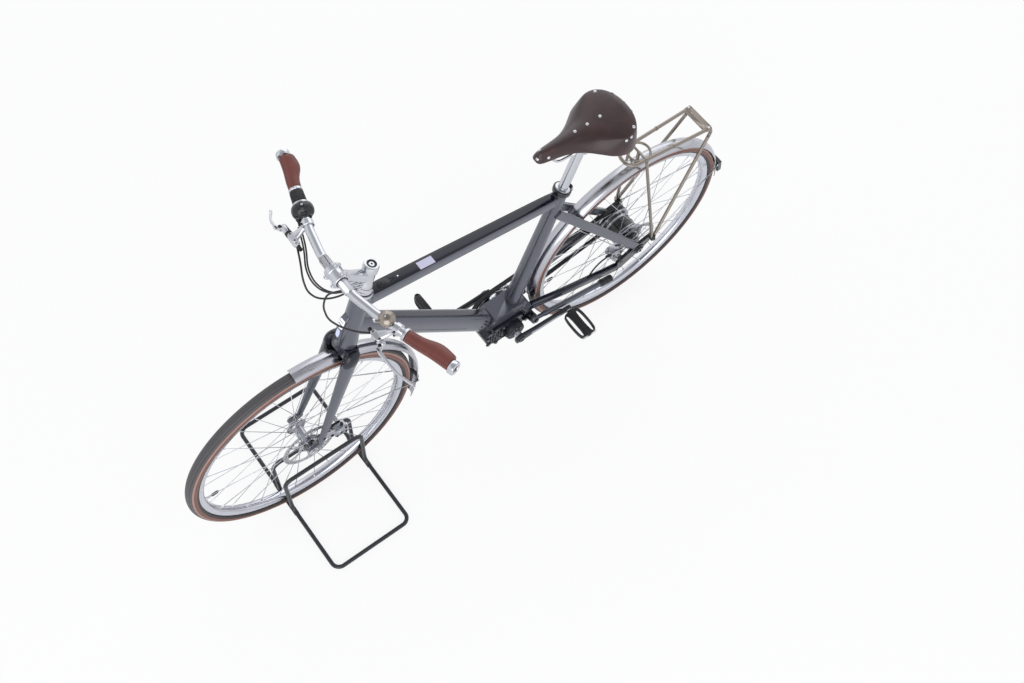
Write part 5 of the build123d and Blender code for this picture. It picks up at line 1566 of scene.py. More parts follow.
# ---- head ----
@dataclass
class Head:
    """The fork's crown with its shoulders, the rings of the bearings, and the lamp on the head
    tube.
    """

    def build(self) -> list[bpy.types.Object]:
        """Makes everything round the head tube."""
        return [*self._crown(), *self._lamp(), *self._rings()]

    @staticmethod
    def _stations(foot: float, rows: Sequence[Sequence[float]], side: int = 0) -> list[tuple[Matrix,
                float, float]]:
        """Sections square to the steering axis, from rows of rise, place ahead, place out, depth
        and width.
        """
        return [(aligned(steer(foot + rise, ahead, side * out), UP_STEER, AHEAD_STEER), deep, wide)
                for rise, ahead, out, deep, wide in rows]

    def _crown(self) -> list[bpy.types.Object]:
        """A lacquered core between two painted shoulders that run on into the blades.

        Returns:
            The finished pieces.
        """
        core, shoulders, lines = Shape(), Shape(), Shape()
        core.loft(self._stations(CROWN_S, ((0.5, 0, 0, 18, 44), (3, 0, 0, 21, 47),
                        (12, 0, 0, 22, 48), (22, 0, 0, 22, 46), (29, 0, 0, 21.4, 40),
                        (32, 0, 0, 20, 34))), 56, 3.4)
        core.lathe([(14.3, 2), (14.3, 322)], steer(CROWN_S), UP_STEER, 32)
        for side in (1, -1):
            rings = ((-26, 9, 39.6, 20.6, 14.2), (-10, 8.4, 40.6, 21.6, 14.8),
                    (0, 8, 41.2, 22.0, 15.0), (10, 6.4, 42, 22.2, 13.4),
                    (19, 4.6, 41.8, 21.4, 11.2), (26, 3.2, 40.4, 18.6, 9.0), (30.5, 2.4, 38.6, 13.8,
                        6.6), (32.6, 2, 37, 8, 3.6))
            shoulders.loft(self._stations(CROWN_S, rings, side), 40, 2.2)
            lines.pipe([steer(CROWN_S + rise, ahead, side * out) for rise, ahead, out in
                        ((2, 23.0, 30), (12, 24.2, 31.5), (22, 23.6, 31), (30, 19.0, 29),
                            (33, 10, 28))], 0.7, 3, 3)
        return [piece("crown_core", core, NAVY_GLOSS, "steering", ["fork_crown"], crease=40),
                piece("crown_shoulders", shoulders, NAVY_GLOSS, "steering", crease=60),
                piece("crown_lines", lines, CRANK_GREY, "steering")]

    def _lamp(self) -> list[bpy.types.Object]:
        """A slim housing let into the head tube's front: a white window over a lavender strip,
        edged in black.

        Returns:
            The finished pieces.
        """
        def put(rise: float, ahead: float, side: float = 0.0) -> Vector:
            """A place on the head tube, measured from its foot."""
            return steer(HEAD_S + rise, ahead, side)

        body, edge, window, strip, slots = Shape(), Shape(), Shape(), Shape(), Shape()
        rings = ((6, 18, 11.5, 12.4), (9, 22, 13.4, 13.0), (40, 24, 13.9, 13.0),
                (84, 23.6, 13.6, 12.8), (104, 21, 12.0, 12.0), (117, 14, 9.0, 10.0),
                (123, 8, 5.0, 8))
        body.loft(self._stations(HEAD_S,
                    [(rise, ahead, 0, deep, wide) for rise, ahead, deep, wide in rings]), 40, 2.8)
        for side in (1, -1):
            edge.pipe([put(rise, ahead + deep * 0.72, side * wide * 0.93)
                        for rise, ahead, deep, wide in rings[:-1]], 0.8, 3, 3)
        window.loft(self._stations(HEAD_S, ((74, 36.6, 0, 1.6, 6), (76, 36.9, 0, 1.6, 9.0),
                        (90, 36.0, 0, 1.6, 9.4), (100, 33.6, 0, 1.6, 8.6), (103, 32.4, 0, 1.6, 6))),
                28, 3)
        strip.loft(self._stations(HEAD_S, ((42, 37.2, 0, 1.5, 3.4), (45, 37.4, 0, 1.5, 5.6),
                        (60, 37.3, 0, 1.5, 6.0), (66, 37.1, 0, 1.5, 5.0), (68, 36.9, 0, 1.5, 3.0))),
                24, 2.6)
        slots.box((1.4, 15, 2.0), aligned(put(88.5, 38.0), UP_STEER, AHEAD_STEER), 0.4, 1)
        slots.box((1.4, 13, 1.2), aligned(put(96.5, 36.2), UP_STEER, AHEAD_STEER), 0.3, 1)
        for lean in (1, -1):
            slots.rod(put(28, 38.0, 0), put(38, 37.6, 7 * lean), 0.8, sides=8)
        return [piece("lamp_body", body, FRAME_GREY, "frame", ["headlamp"], crease=60),
                piece("lamp_edges", edge, BLACK_ABS, "frame"),
                piece("lamp_window", window, WHITE_LENS, "frame", crease=60),
                piece("lamp_strip", strip, BLUE_LIGHT, "frame", crease=60),
                piece("lamp_slots", slots, BLACK_ABS, "frame")]

    def _rings(self) -> list[bpy.types.Object]:
        """Bearing covers: a dark ring at the head tube's foot and polished ones under the stem.

        Returns:
            The finished pieces.
        """
        dark, bright = Shape(), Shape()
        dark.lathe([(24.8, 0.2), (27.8, 0.2), (28.3, 1.4), (28.3, 2.6), (27.7, 3.4), (24.8, 3.4)],
                steer(HEAD_S), UP_STEER, 64, closed=True)
        dark.lathe([(14.6, 0.05), (20, 0.05), (20, 0.5), (14.6, 0.5)], steer(HEAD_S + 200),
                UP_STEER, 48, closed=True)
        bright.lathe([(24.6, -9), (25.2, -8.4), (25.2, -2), (24.4, -0.3), (20, -0.3), (20, -9)],
                steer(HEAD_TOP_S), UP_STEER, 64, closed=True)
        return [piece("bearing_rings_dark", dark, BLACK_GLOSS, "frame"),
                piece("bearing_ring_bright", bright, POLISHED, "frame")]


# ---- cockpit ----
@dataclass
class Stem:
    """The forged stem: a cupped cap, a waisted column, a ribbed skirt under the arm, and a bolted
    face plate.
    """

    gap: float = 0.6
    bolt_lift: float = 19.5
    bolt_out: float = 14.0

    def build(self) -> list[bpy.types.Object]:
        """Makes the forging and its fittings.

        Returns:
            The finished pieces.
        """
        metal, dark, bolts = Shape(), Shape(), Shape()
        base = HEAD_TOP_S + self.gap
        metal.lathe([(14.3, 0), (20.5, 0), (21.5, 1.4), (21.5, 7), (19.4, 9), (18.6, 17.4),
                    (14.3, 17.4)], steer(base), UP_STEER, 56, closed=True)
        metal.lathe([(14.3, 18), (18, 18), (18, 30), (17, 33), (16.6, 60), (17.4, 66), (18.8, 70),
                    (19.4, 76), (19.4, 88), (18.2, 92), (14.5, 93.4), (12.6, 93), (12.2, 89.6),
                    (0, 89.6)], steer(base), UP_STEER, 56)
        dark.lathe([(7.4, 89.7), (12.0, 89.7), (12.0, 90.6), (7.4, 90.6)], steer(base), UP_STEER,
                40, closed=True)
        dark.lathe([(16, 17.3), (18.3, 17.3), (18.3, 18.1), (16, 18.1)], steer(base), UP_STEER, 48,
                closed=True)
        dark.lathe([(0, 92.6), (2.6, 92.6), (2.6, 91), (0, 91)], steer(base), UP_STEER, 6)
        metal.lathe([(2.9, 90), (7.0, 90), (7.2, 91.6), (6.2, 92.6), (2.9, 92.6)], steer(base),
                UP_STEER, 32, closed=True)
        root = steer(base + 54, 10)
        run = (BAR_CENTRE - root).normalized()
        length = (BAR_CENTRE - root).length
        metal.loft([(aligned(root + run * (length * share), run, LEFT), wide, deep)
                    for share, wide, deep in
                    ((0, 15, 15), (0.25, 13.6, 14), (0.5, 12.4, 12), (0.72, 13.5, 11.6),
                        (0.84, 17, 12.5))], 36, 2.8)
        for side in (1, -1):
            ribs = [(steer(base + 22, 14), steer(base + 24, 30)), (steer(base + 30, 15),
                        steer(base + 34, 48)), (steer(base + 39, 15), steer(base + 46, 62))]
            for low, high in ribs:
                metal.rod(low + LEFT * side * 8.5, high + LEFT * side * 7, 2.2, 1.6, 12)
        web = [(-14, 0), (0, 2), (52, 32), (50, 38), (8, 34), (-14, 30)]
        metal.prism(web, aligned(steer(base + 20, 14) + LEFT * 4, -LEFT, AHEAD_STEER), 8, 1.2)
        for side in (1, -1):
            start = BAR_CENTRE + LEFT * (side * 6)
            metal.lathe([(12.8, 0), (19.2, 0), (20, 0.9), (20, 15), (19.2, 16), (12.8, 16)], start,
                    LEFT * side, 56, closed=True)
            dark.lathe([(13, 16.1), (15.4, 16.1), (15.4, 16.7), (13, 16.7)], start, LEFT * side, 48,
                    closed=True)
        metal.lathe([(12.8, -6), (18.4, -6), (18.4, 6), (12.8, 6)], BAR_CENTRE, LEFT, 56,
                closed=True)
        over = run.cross(LEFT)
        for side in (1, -1):
            for lift in (1, -1):
                place = BAR_CENTRE + run * 9 + over * (lift * self.bolt_lift) + LEFT * (side
                        * self.bolt_out)
                metal.rod(place - run * 15, place + run * 1.5, 5.0, edge=0.8)
                bolts.bolt(place + run * 1.5, run, 4.2, 3.0)
        seam = [BAR_CENTRE + over * 20.1 + LEFT * out for out in (-21, 0, 21)]
        dark.pipe(seam, 0.5, 2, 2)
        return [piece("stem_forging", metal, POLISHED, "steering", ["stem"]),
                piece("stem_recesses", dark, BLACK_NYLON, "steering"),
                piece("stem_bolts", bolts, CHROME, "steering")]


@dataclass
class BrakeLever:
    """A hydraulic lever: a split clamp, a stepped cylinder with its cap and hose boot, and a flat
    curved blade.
    """

    side: int
    clamp_out: float
    pump_inner: float
    pivot: float
    tip: float

    @property
    def name(self) -> str:
        """Which lever it is."""
        return "left_brake_lever" if self.side > 0 else "right_brake_lever"

    def build(self) -> list[bpy.types.Object]:
        """Makes the lever and its small parts.

        Returns:
            The finished pieces.
        """
        place, run = on_bar(self.clamp_out)
        inner = Vector((place.x + 44, self.pump_inner, place.z - 20))
        outer = Vector((place.x + 42, self.pivot, place.z - 25))
        line = (outer - inner).normalized()
        length = (outer - inner).length
        body, blade, dark, bolts = Shape(), Shape(), Shape(), Shape()
        body.lathe([(11.2, -7), (14.2, -7), (15, -6.2), (15, 6.2), (14.2, 7), (11.2, 7)], place,
                run, 48, closed=True)
        neck_to = inner + line * (length * 0.4)
        neck = (neck_to - place).normalized()
        body.stretch(place, neck, run, ((12, 7, 8.4), (20, 7.6, 6.4), (30, 9.4, 6.2),
                    ((neck_to - place).length - 4, 13, 7.6)), 32, 2.6)
        body.lathe([(0, -1), (5.2, -1), (6, 0), (6, 4), (8.2, 5), (9, 6.4), (9, length * 0.5),
                    (8.2, length * 0.55), (8.2, length * 0.72), (9, length * 0.76), (9, length - 1),
                    (8, length + 4), (5, length + 7), (0, length + 8)], inner, line, 40)
        dark.lathe([(3, -14), (4, -13.4), (4.6, -4), (5.6, -1.2), (5.6, 0.6), (3, 0.6)], inner,
                line, 28, closed=True)
        for step in (-11.5, -9, -6.5):
            dark.lathe([(3.8, -0.6), (4.9, -0.5), (4.9, 0.5), (3.8, 0.6)], inner + line * step,
                    line, 24, closed=True)
        dark.lathe([(8.9, length * 0.56), (8.5, length * 0.56), (8.5, length * 0.71),
                    (8.9, length * 0.71)], inner, line, 36, closed=True)
        up = upward(line.cross(FORWARD).normalized())
        lid = inner + line * (length * 0.36) + up * 8.2
        body.stretch(lid, up, line, ((-4, 15, 7.6), (1.2, 15, 7.6), (2.2, 14, 6.6)), 36, 3.4)
        for step in (-11, 11):
            bolts.bolt(lid + line * step + up * 2.2, up, 2.1, 1.0)
        ahead = (FORWARD - run * FORWARD.dot(run)).normalized()
        for lift in (1, -1):
            bolts.bolt(place + ahead * 13.5 + UP * (lift * 8), ahead, 2.8, 2.4)
        knuckle = outer + Vector((15, self.side * 14, -4))
        tip = Vector((outer.x - 4, self.tip, outer.z - 22))
        bend = (knuckle + tip) / 2 + Vector((6, 0, -1))
        curl = tip + Vector((3.5, self.side * 2.5, -0.5))
        path = [outer + Vector((2, 0, 0)), (outer + knuckle) / 2 + Vector((2, 0, 0)), knuckle,
                knuckle * 0.62 + bend * 0.38, bend, bend * 0.5 + tip * 0.5 + Vector((1.6, 0, 0)),
                tip, curl]
        sizes = [(6.6, 6), (6.2, 5.4), (6.0, 4.6), (5.6, 3.4), (5.2, 3.1), (5.0, 3.0), (4.8, 3.2),
                (3.6, 2.6)]
        rings = []
        for step in range(29):
            share = step / 28
            spot = Vector(eased(path, share))
            way = Vector(eased(path, min(share + 0.02, 1))) - Vector(eased(path,
                        max(share - 0.02, 0)))
            tall, thick = eased(sizes, share)
            rings.append((aligned(spot, way, UP), tall, thick))
        blade.loft(rings, 28, 2.5)
        for lift in (1, -1):
            bolts.bolt(outer + Vector((8, self.side * 4, lift * 7.0)), UP * lift, 4.2, 1.8)
        body.rod(outer + Vector((8, self.side * 4, -7)), outer + Vector((8, self.side * 4, 7)), 5.4,
                edge=0.8)
        dark.box((3, 9, 1.4), Matrix.Translation(outer + Vector((16, self.side * 9, 4.8))), 0.3, 1)
        return [piece(f"{self.name}_body", body, POLISHED, "steering", [self.name]),
                piece(f"{self.name}_blade", blade, POLISHED, "steering", crease=60),
                piece(f"{self.name}_boots", dark, BLACK_NYLON, "steering"),
                piece(f"{self.name}_bolts", bolts, BLACK_GLOSS, "steering")]


@dataclass
class Shifter:
    """A ribbed twist grip with a glossy domed housing, a polished ring and a clamp lever."""

    gap: float = 9.6
    lead_in: float = 76.0
    ribs: int = 26

    def build(self) -> list[bpy.types.Object]:
        """Makes the twist grip and its housing.

        Returns:
            The finished pieces.
        """
        end = bar_point(-1, -1)
        inward = (bar_point(-2, -1) - end).normalized()
        start = end + inward * (14 + GRIP_LENGTHS[-1] + self.gap)
        rubber, gloss, bright = Shape(), Shape(), Shape()
        rubber.lathe([(11.2, 0), (15.2, 0), (15.8, 1), (16.2, 33), (15.4, 34), (11.2, 34)], start,
                inward, 56, closed=True)
        across = (-FORWARD + inward * inward.x).normalized()
        frame_at = aligned(start, inward, across)
        for step in range(self.ribs):
            turn = math.tau * step / self.ribs
            out = frame_at.to_3x3() @ Vector((math.cos(turn), math.sin(turn), 0))
            rubber.rod(start + out * 15.5 + inward * 3, start + out * 16.2 + inward * 31, 1.1, 1.1,
                    8)
        bright.lathe([(11.2, 34.6), (19.2, 34.6), (20, 35.4), (20, 39.6), (19.2, 40.4),
                    (11.2, 40.4)], start, inward, 56, closed=True)
        gloss.lathe([(11.2, 41), (21, 41), (25, 43), (26.6, 48), (27, 55), (25.6, 61), (22, 66),
                    (16.5, 69), (15.6, 70), (15.6, 74), (11.2, 74)], start, inward, 56, closed=True)
        lead = end + inward * (14 + GRIP_LENGTHS[-1] + self.gap + self.lead_in) + Vector((16, 0,
                    -15))
        root = start + inward * 56 + Vector((14, 0, -10))
        way = (lead - root).normalized()
        gloss.lathe([(0, 0), (8, 0), (7.4, 8), (5, 12), (4.6, (lead - root).length),
                    (0, (lead - root).length)], root, way, 32)
        cap = start + inward * 54 + UP * 25.6
        gloss.lathe([(0, 2.2), (6, 1.8), (9, 0.4), (10, -2), (0, -2)], cap, UP, 36)
        bright.bolt(cap + UP * 1.9, UP, 3.0, 0.9)
        gloss.loft([(aligned(start + inward * 71 + UP * (13 + step), UP, inward), wide, deep)
                    for step, wide, deep in
                    ((0, 3, 8), (3, 3, 8), (5, 2.4, 9), (6, 1.6, 9))], 24, 3)
        return [piece("shifter_rubber", rubber, BLACK_NYLON, "steering", ["gear_shifter"]),
                piece("shifter_housing", gloss, BLACK_ABS, "steering", crease=50),
                piece("shifter_ring", bright, POLISHED, "steering")]


@dataclass
class Bell:
    """A turned dome with a rolled lip, on a clamp with a striker lever."""

    out: float = 164.0
    bar_r: float = 11.1

    def build(self) -> list[bpy.types.Object]:
        """Makes the dome, its clamp and its lever.

        Returns:
            The finished pieces.
        """
        place, run = on_bar(self.out)
        axis = Vector((0.2, 0, 1)).normalized()
        base = place + UP * self.bar_r
        dome = Shape().lathe([(0, 3.2), (18, 3.2), (19.0, 2.2), (20, 2.6), (20, 5.4), (19.4, 8),
                    (17.4, 12.4), (13.6, 16.8), (8.4, 19.8), (3.4, 21), (3.0, 20.4), (0, 20.4)],
                base, axis, 64)
        metal = Shape().lathe([(11.2, -4), (13.2, -4), (13.6, -3.4), (13.6, 3.4), (13.2, 4),
                    (11.2, 4)], place, run, 48, closed=True)
        metal.dome(base + axis * 20.4, axis, 2.4, 1.4)
        side = (FORWARD * 0.9 - run * 0.35).normalized()
        rings = []
        for step, wide, deep, lift in ((10, 3.2, 2.2, 1), (16, 3.2, 2.2, 2), (21, 3.4, 1.8, 5),
                (25, 4.6, 1.7, 9), (29, 5.0, 1.7, 12), (31, 3.4, 1.2, 13.4)):
            rings.append((aligned(base + side * step + UP * lift, side + UP * 0.4, side.cross(UP)),
                        wide, deep))
        metal.loft(rings, 24, 2.4)
        metal.bolt(place - UP * 13.0, -UP, 3, 3)
        return [piece("bell_dome", dome, BRASS, "steering", ["bell"], crease=30),
                piece("bell_fittings", metal, POLISHED, "steering")]


# ---- drive ----
@dataclass
class Motor:
    """The fittings of the drive unit: cooling ribs, case bolts, the nose covers and the cable
    loops beside it.
    """

    fins: int = 7
    fin_pitch: float = 9.5
    cover_bolts: int = 8
    bolt_r: float = 21.5

    def build(self) -> list[bpy.types.Object]:
        """Makes the fittings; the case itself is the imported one.

        Returns:
            The finished pieces.
        """
        ribs, gloss, bolts, covers, loops = Shape(), Shape(), Shape(), Shape(), Shape()
        for side in (1, -1):
            for step in range(self.fins):
                x = 26 + step * self.fin_pitch
                low = -34 + abs(step - 3) * 2
                frame_at = Matrix.Translation(CRANK_AXLE + Vector((x, side * 40.6, (low + 14) / 2)))
                ribs.box((3.2, 3.4, 14 - low), frame_at, 1.0)
            for x, z in ((28, 24), (62, 25), (84, 8), (82, -24), (54, -38), (14, -41)):
                spot = CRANK_AXLE + Vector((x, side * 40, z))
                covers.lathe([(0, 3.4), (5.4, 3.4), (6.2, 2.6), (7, -1), (0, -1)], spot,
                        LEFT * side, 20)
                bolts.bolt(spot + LEFT * (side * 3.2), LEFT * side, 3.4, 2.2)
        for step in range(5):
            ribs.box((54, 3, 3.0),
                    Matrix.Translation(CRANK_AXLE + Vector((48, (step - 2) * 13, -46.8))), 0.9)
        covers.lathe([(13, 60), (13, 65), (24, 65), (28, 63.4), (30.6, 60), (31.4, 52), (30.4, 44),
                    (30.2, 41), (13, 41)], CRANK_AXLE, LEFT, 64, closed=True)
        covers.lathe([(13, -45), (26, -45), (30, -43.6), (31, -41), (13, -41)], CRANK_AXLE, LEFT,
                64, closed=True)
        for step in range(self.cover_bolts):
            turn = math.tau * step / self.cover_bolts
            spot = CRANK_AXLE + Vector((math.cos(turn) * self.bolt_r, 65,
                        math.sin(turn) * self.bolt_r))
            bolts.bolt(spot, LEFT, 1.9, 1.2)
        wing = [(-44, 4), (-28, -22), (8, -30), (44, -30), (66, -22), (88, -18), (80, -35),
                (60, -37), (-36, -37), (-46, -14)]
        for side in (1, -1):
            gloss.prism(wing, aligned(CRANK_AXLE + LEFT * (36 * side - 5.4), LEFT, FORWARD), 10.8,
                    2.0)
        for lift, reach in ((0, 0), (7, -9)):
            points = [CRANK_AXLE + Vector((x, y, z)) for x, y, z in
                    ((88 + reach, 25, 86 + lift), (80 + reach, 33, 74), (72, 46, 52),
                        (66, 55, 26 + lift), (48, 58, 6), (30, 52, -6), (20, 43, -14))]
            loops.pipe(points, 2.0, 4, 4)
        return [piece("motor_ribs", ribs, MOTOR_CAST, "frame"),
                piece("motor_covers", covers, MOTOR_CAST, "frame", crease=40),
                piece("motor_wings", gloss, NAVY_GLOSS, "frame", crease=40),
                piece("motor_bolts", bolts, CAST_METAL, "frame"),
                piece("motor_leads", loops, HOSE, "frame")]


@dataclass
class Cranks:
    """Forged arms with a sunk panel, axle bolts, pedal pins, and the toothed front sprocket."""

    teeth: int = 60
    tooth_r: float = 71.0
    bolt_r: float = 52.0
    axle_r: float = 11.8

    def build(self) -> list[bpy.types.Object]:
        """Makes both arms, the axle and the sprocket's teeth.

        Returns:
            The finished pieces.
        """
        arms, metal, caps, panel, teeth = Shape(), Shape(), Shape(), Shape(), Shape()
        metal.rod(CRANK_AXLE - LEFT * 80, CRANK_AXLE + LEFT * 80, self.axle_r, sides=40)
        for side in (1, -1):
            run = crank_run(side)
            eye = CRANK_AXLE + run * CRANK_LENGTH
            up = run.cross(LEFT * side)
            rows = ((-17.6, 9, 86.5, 6), (-15, 14.5, 86.5, 6.4), (0, 17.6, 86.5, 6.5),
                    (18, 15.6, 86.5, 6.4), (50, 12.6, 86.6, 6.1), (100, 11.8, 86.7, 6.0),
                    (145, 11.6, 86.7, 6.1), (170, 12.8, 86.6, 6.3), (179, 10.4, 86.6, 6),
                    (182.6, 5, 86.6, 5.2))
            arms.loft([(aligned(CRANK_AXLE + run * reach + LEFT * (side * out), run, up), tall,
                            thick)
                        for reach, tall, out, thick in rows], 40, 3.0)
            panel.loft([(aligned(CRANK_AXLE + run * reach + LEFT * (side * 92.7), run, up), tall,
                            0.7)
                        for reach, tall in ((34, 2.6), (38, 6.4), (136, 5.1), (140, 1.9))], 24, 4)
            caps.lathe([(0, 0.6), (3.2, 0.6), (3.6, 2.0), (10.4, 2.0), (11.4, 1.2), (11.4, -1),
                        (0, -1)], CRANK_AXLE + LEFT * (side * 93), LEFT * side, 40)
            metal.lathe([(0, -12), (7, -12), (7, -0.4), (6.2, 0.6), (2.8, 0.6), (2.8, -1), (0, -1)],
                    eye + LEFT * (side * 93.4), LEFT * side, 28)
            metal.lathe([(0, 0), (6.6, 0), (6.6, 2.6), (4.5, 3.4), (4.5, 91), (0, 95)],
                    eye + LEFT * (side * 93), LEFT * side, 28)
        for out in round_axle(self.teeth):
            teeth.box((2.4, 12, 3.0), aligned(CRANK_AXLE + out * self.tooth_r + LEFT * BELT_Y,
                        out.cross(LEFT), out), 0.4, 1)
        plate = Shape().lathe([(60, -3.4), (69.4, -3.4), (70, -2.8), (70, 2.8), (69.4, 3.4),
                    (60, 3.4), (58.6, 2.6), (58.6, -2.6)], CRANK_AXLE + LEFT * BELT_Y, LEFT, 96,
                closed=True)
        for out in round_axle(5, 0.63):
            metal.bolt(CRANK_AXLE + out * self.bolt_r + LEFT * (BELT_Y - 2.5), -LEFT, 4.4, 2.2)
        return [piece("crank_arms", arms, CRANK_GREY, "crank", ["crankset"],
                    crease=45),
                piece("crank_metal", metal, POLISHED, "crank"),
                piece("crank_panels", panel, CAST_METAL, "crank", crease=45),
                piece("crank_caps", caps, BLACK_ABS, "crank"),
                piece("sprocket_teeth", teeth, DISC_STEEL, "crank"),
                piece("sprocket_rim", plate, POLISHED, "crank")]


@dataclass
class Pedal:
    """A cage pedal: a bent frame round two long windows, a ribbed grip down the middle, and a
    bearing cap.
    """

    side: int

    @property
    def name(self) -> str:
        """Which pedal it is."""
        return "left_pedal" if self.side > 0 else "right_pedal"

    def build(self) -> list[bpy.types.Object]:
        """Makes the pedal; the right one stands on edge.

        Returns:
            The finished pieces.
        """
        run = crank_run(self.side)
        middle = CRANK_AXLE + run * CRANK_LENGTH + LEFT * (self.side * PEDAL_OUT)
        turn = Matrix.Translation(middle)
        if self.side < 0:
            turn = turn @ Matrix.Rotation(math.radians(90), 4, "Y")
        cage, bar, metal = Shape(), Shape(), Shape()
        outline = ((-27, -34), (-27, 34), (-18, 44.4), (18, 44.4), (27, 34), (27, -34), (18, -44.4),
                (-18, -44.4))
        for lift in (5.4, -5.4):
            loop = [Vector((-27, 0, lift)), *(Vector((x, y, lift)) for x, y in outline[1:]
                        + outline[:1]), Vector((-27, 0, lift))]
            cage.pipe([turn @ place for place in loop], 2.3, 3, 4)
        for first, last in zip(outline, outline[1:] + outline[:1]):
            along = Vector((last[0] - first[0], last[1] - first[1], 0))
            middle_at = Vector(((first[0] + last[0]) / 2, (first[1] + last[1]) / 2, 0)) * 0.975
            cage.box((along.length + 1, 2.6, 10.6),
                    turn @ Matrix.Translation(middle_at) @ basis(along, UP.cross(along)), 0.8)
        bar.loft([(turn @ Matrix.Translation(Vector((0, y, 0))) @ Matrix.Rotation(math.radians(90),
                        4, "X"), wide, 7.0)
                    for y, wide in ((-44, 17), (-34, 13.4), (-18, 12), (18, 12), (34, 13.4),
                        (44, 17))], 36, 5)
        for lift in (7.2, -7.2):
            for step in range(15):
                bar.box((21, 2.0, 1.4),
                        turn @ Matrix.Translation(Vector((0, -35 + step * 5, lift))), 0.4, 1)
        outer = LEFT * self.side
        plate = Shape().box((46, 2.6, 11), turn @ Matrix.Translation(outer * 45.2), 1.0)
        metal.lathe([(0, 2.6), (4, 2.4), (7, 1.2), (7.4, -1), (0, -1)], middle + outer * 45.4,
                outer, 28)
        metal.lathe([(4.6, -3), (8.4, -3), (8.4, 0), (7.4, 1), (4.6, 1)], middle - outer * 46,
                outer, 28, closed=True)
        return [piece(f"{self.name}_cage", cage, BLACK_NYLON, f"{self.name}_body", [self.name]),
                piece(f"{self.name}_grip", bar, BLACK_NYLON, f"{self.name}_body"),
                piece(f"{self.name}_end", plate, POLISHED, f"{self.name}_body"),
                piece(f"{self.name}_caps", metal, CRANK_GREY, f"{self.name}_body")]


@dataclass
class Belt:
    """The teeth on the inside of the belt's two open runs."""

    pitch: float = 11.0
    front_r: float = 72.0
    rear_r: float = 48.0

    def build(self) -> list[bpy.types.Object]:
        """Lays teeth along both runs.

        Returns:
            The finished pieces.
        """
        ribs = Shape()
        front, rear = CRANK_AXLE + LEFT * BELT_Y, REAR_AXLE + LEFT * BELT_Y
        run = front - rear
        lean = math.asin((self.front_r - self.rear_r) / run.length)
        for sign in (1, -1):
            turn = math.atan2(run.z, run.x) + sign * (math.pi / 2 + lean)
            out = Vector((math.cos(turn), 0, math.sin(turn)))
            start, stop = rear + out * (self.rear_r + 0.2), front + out * (self.front_r + 0.2)
            count = int((stop - start).length / self.pitch)
            for step in range(1, count - 1):
                spot = start + (stop - start) * (step + 0.5) / count
                ribs.box((5.0, 11.4, 2.4), aligned(spot, out, out.cross(LEFT)), 0.5, 1)
        return [piece("belt_ribs", ribs, BELT, "frame")]


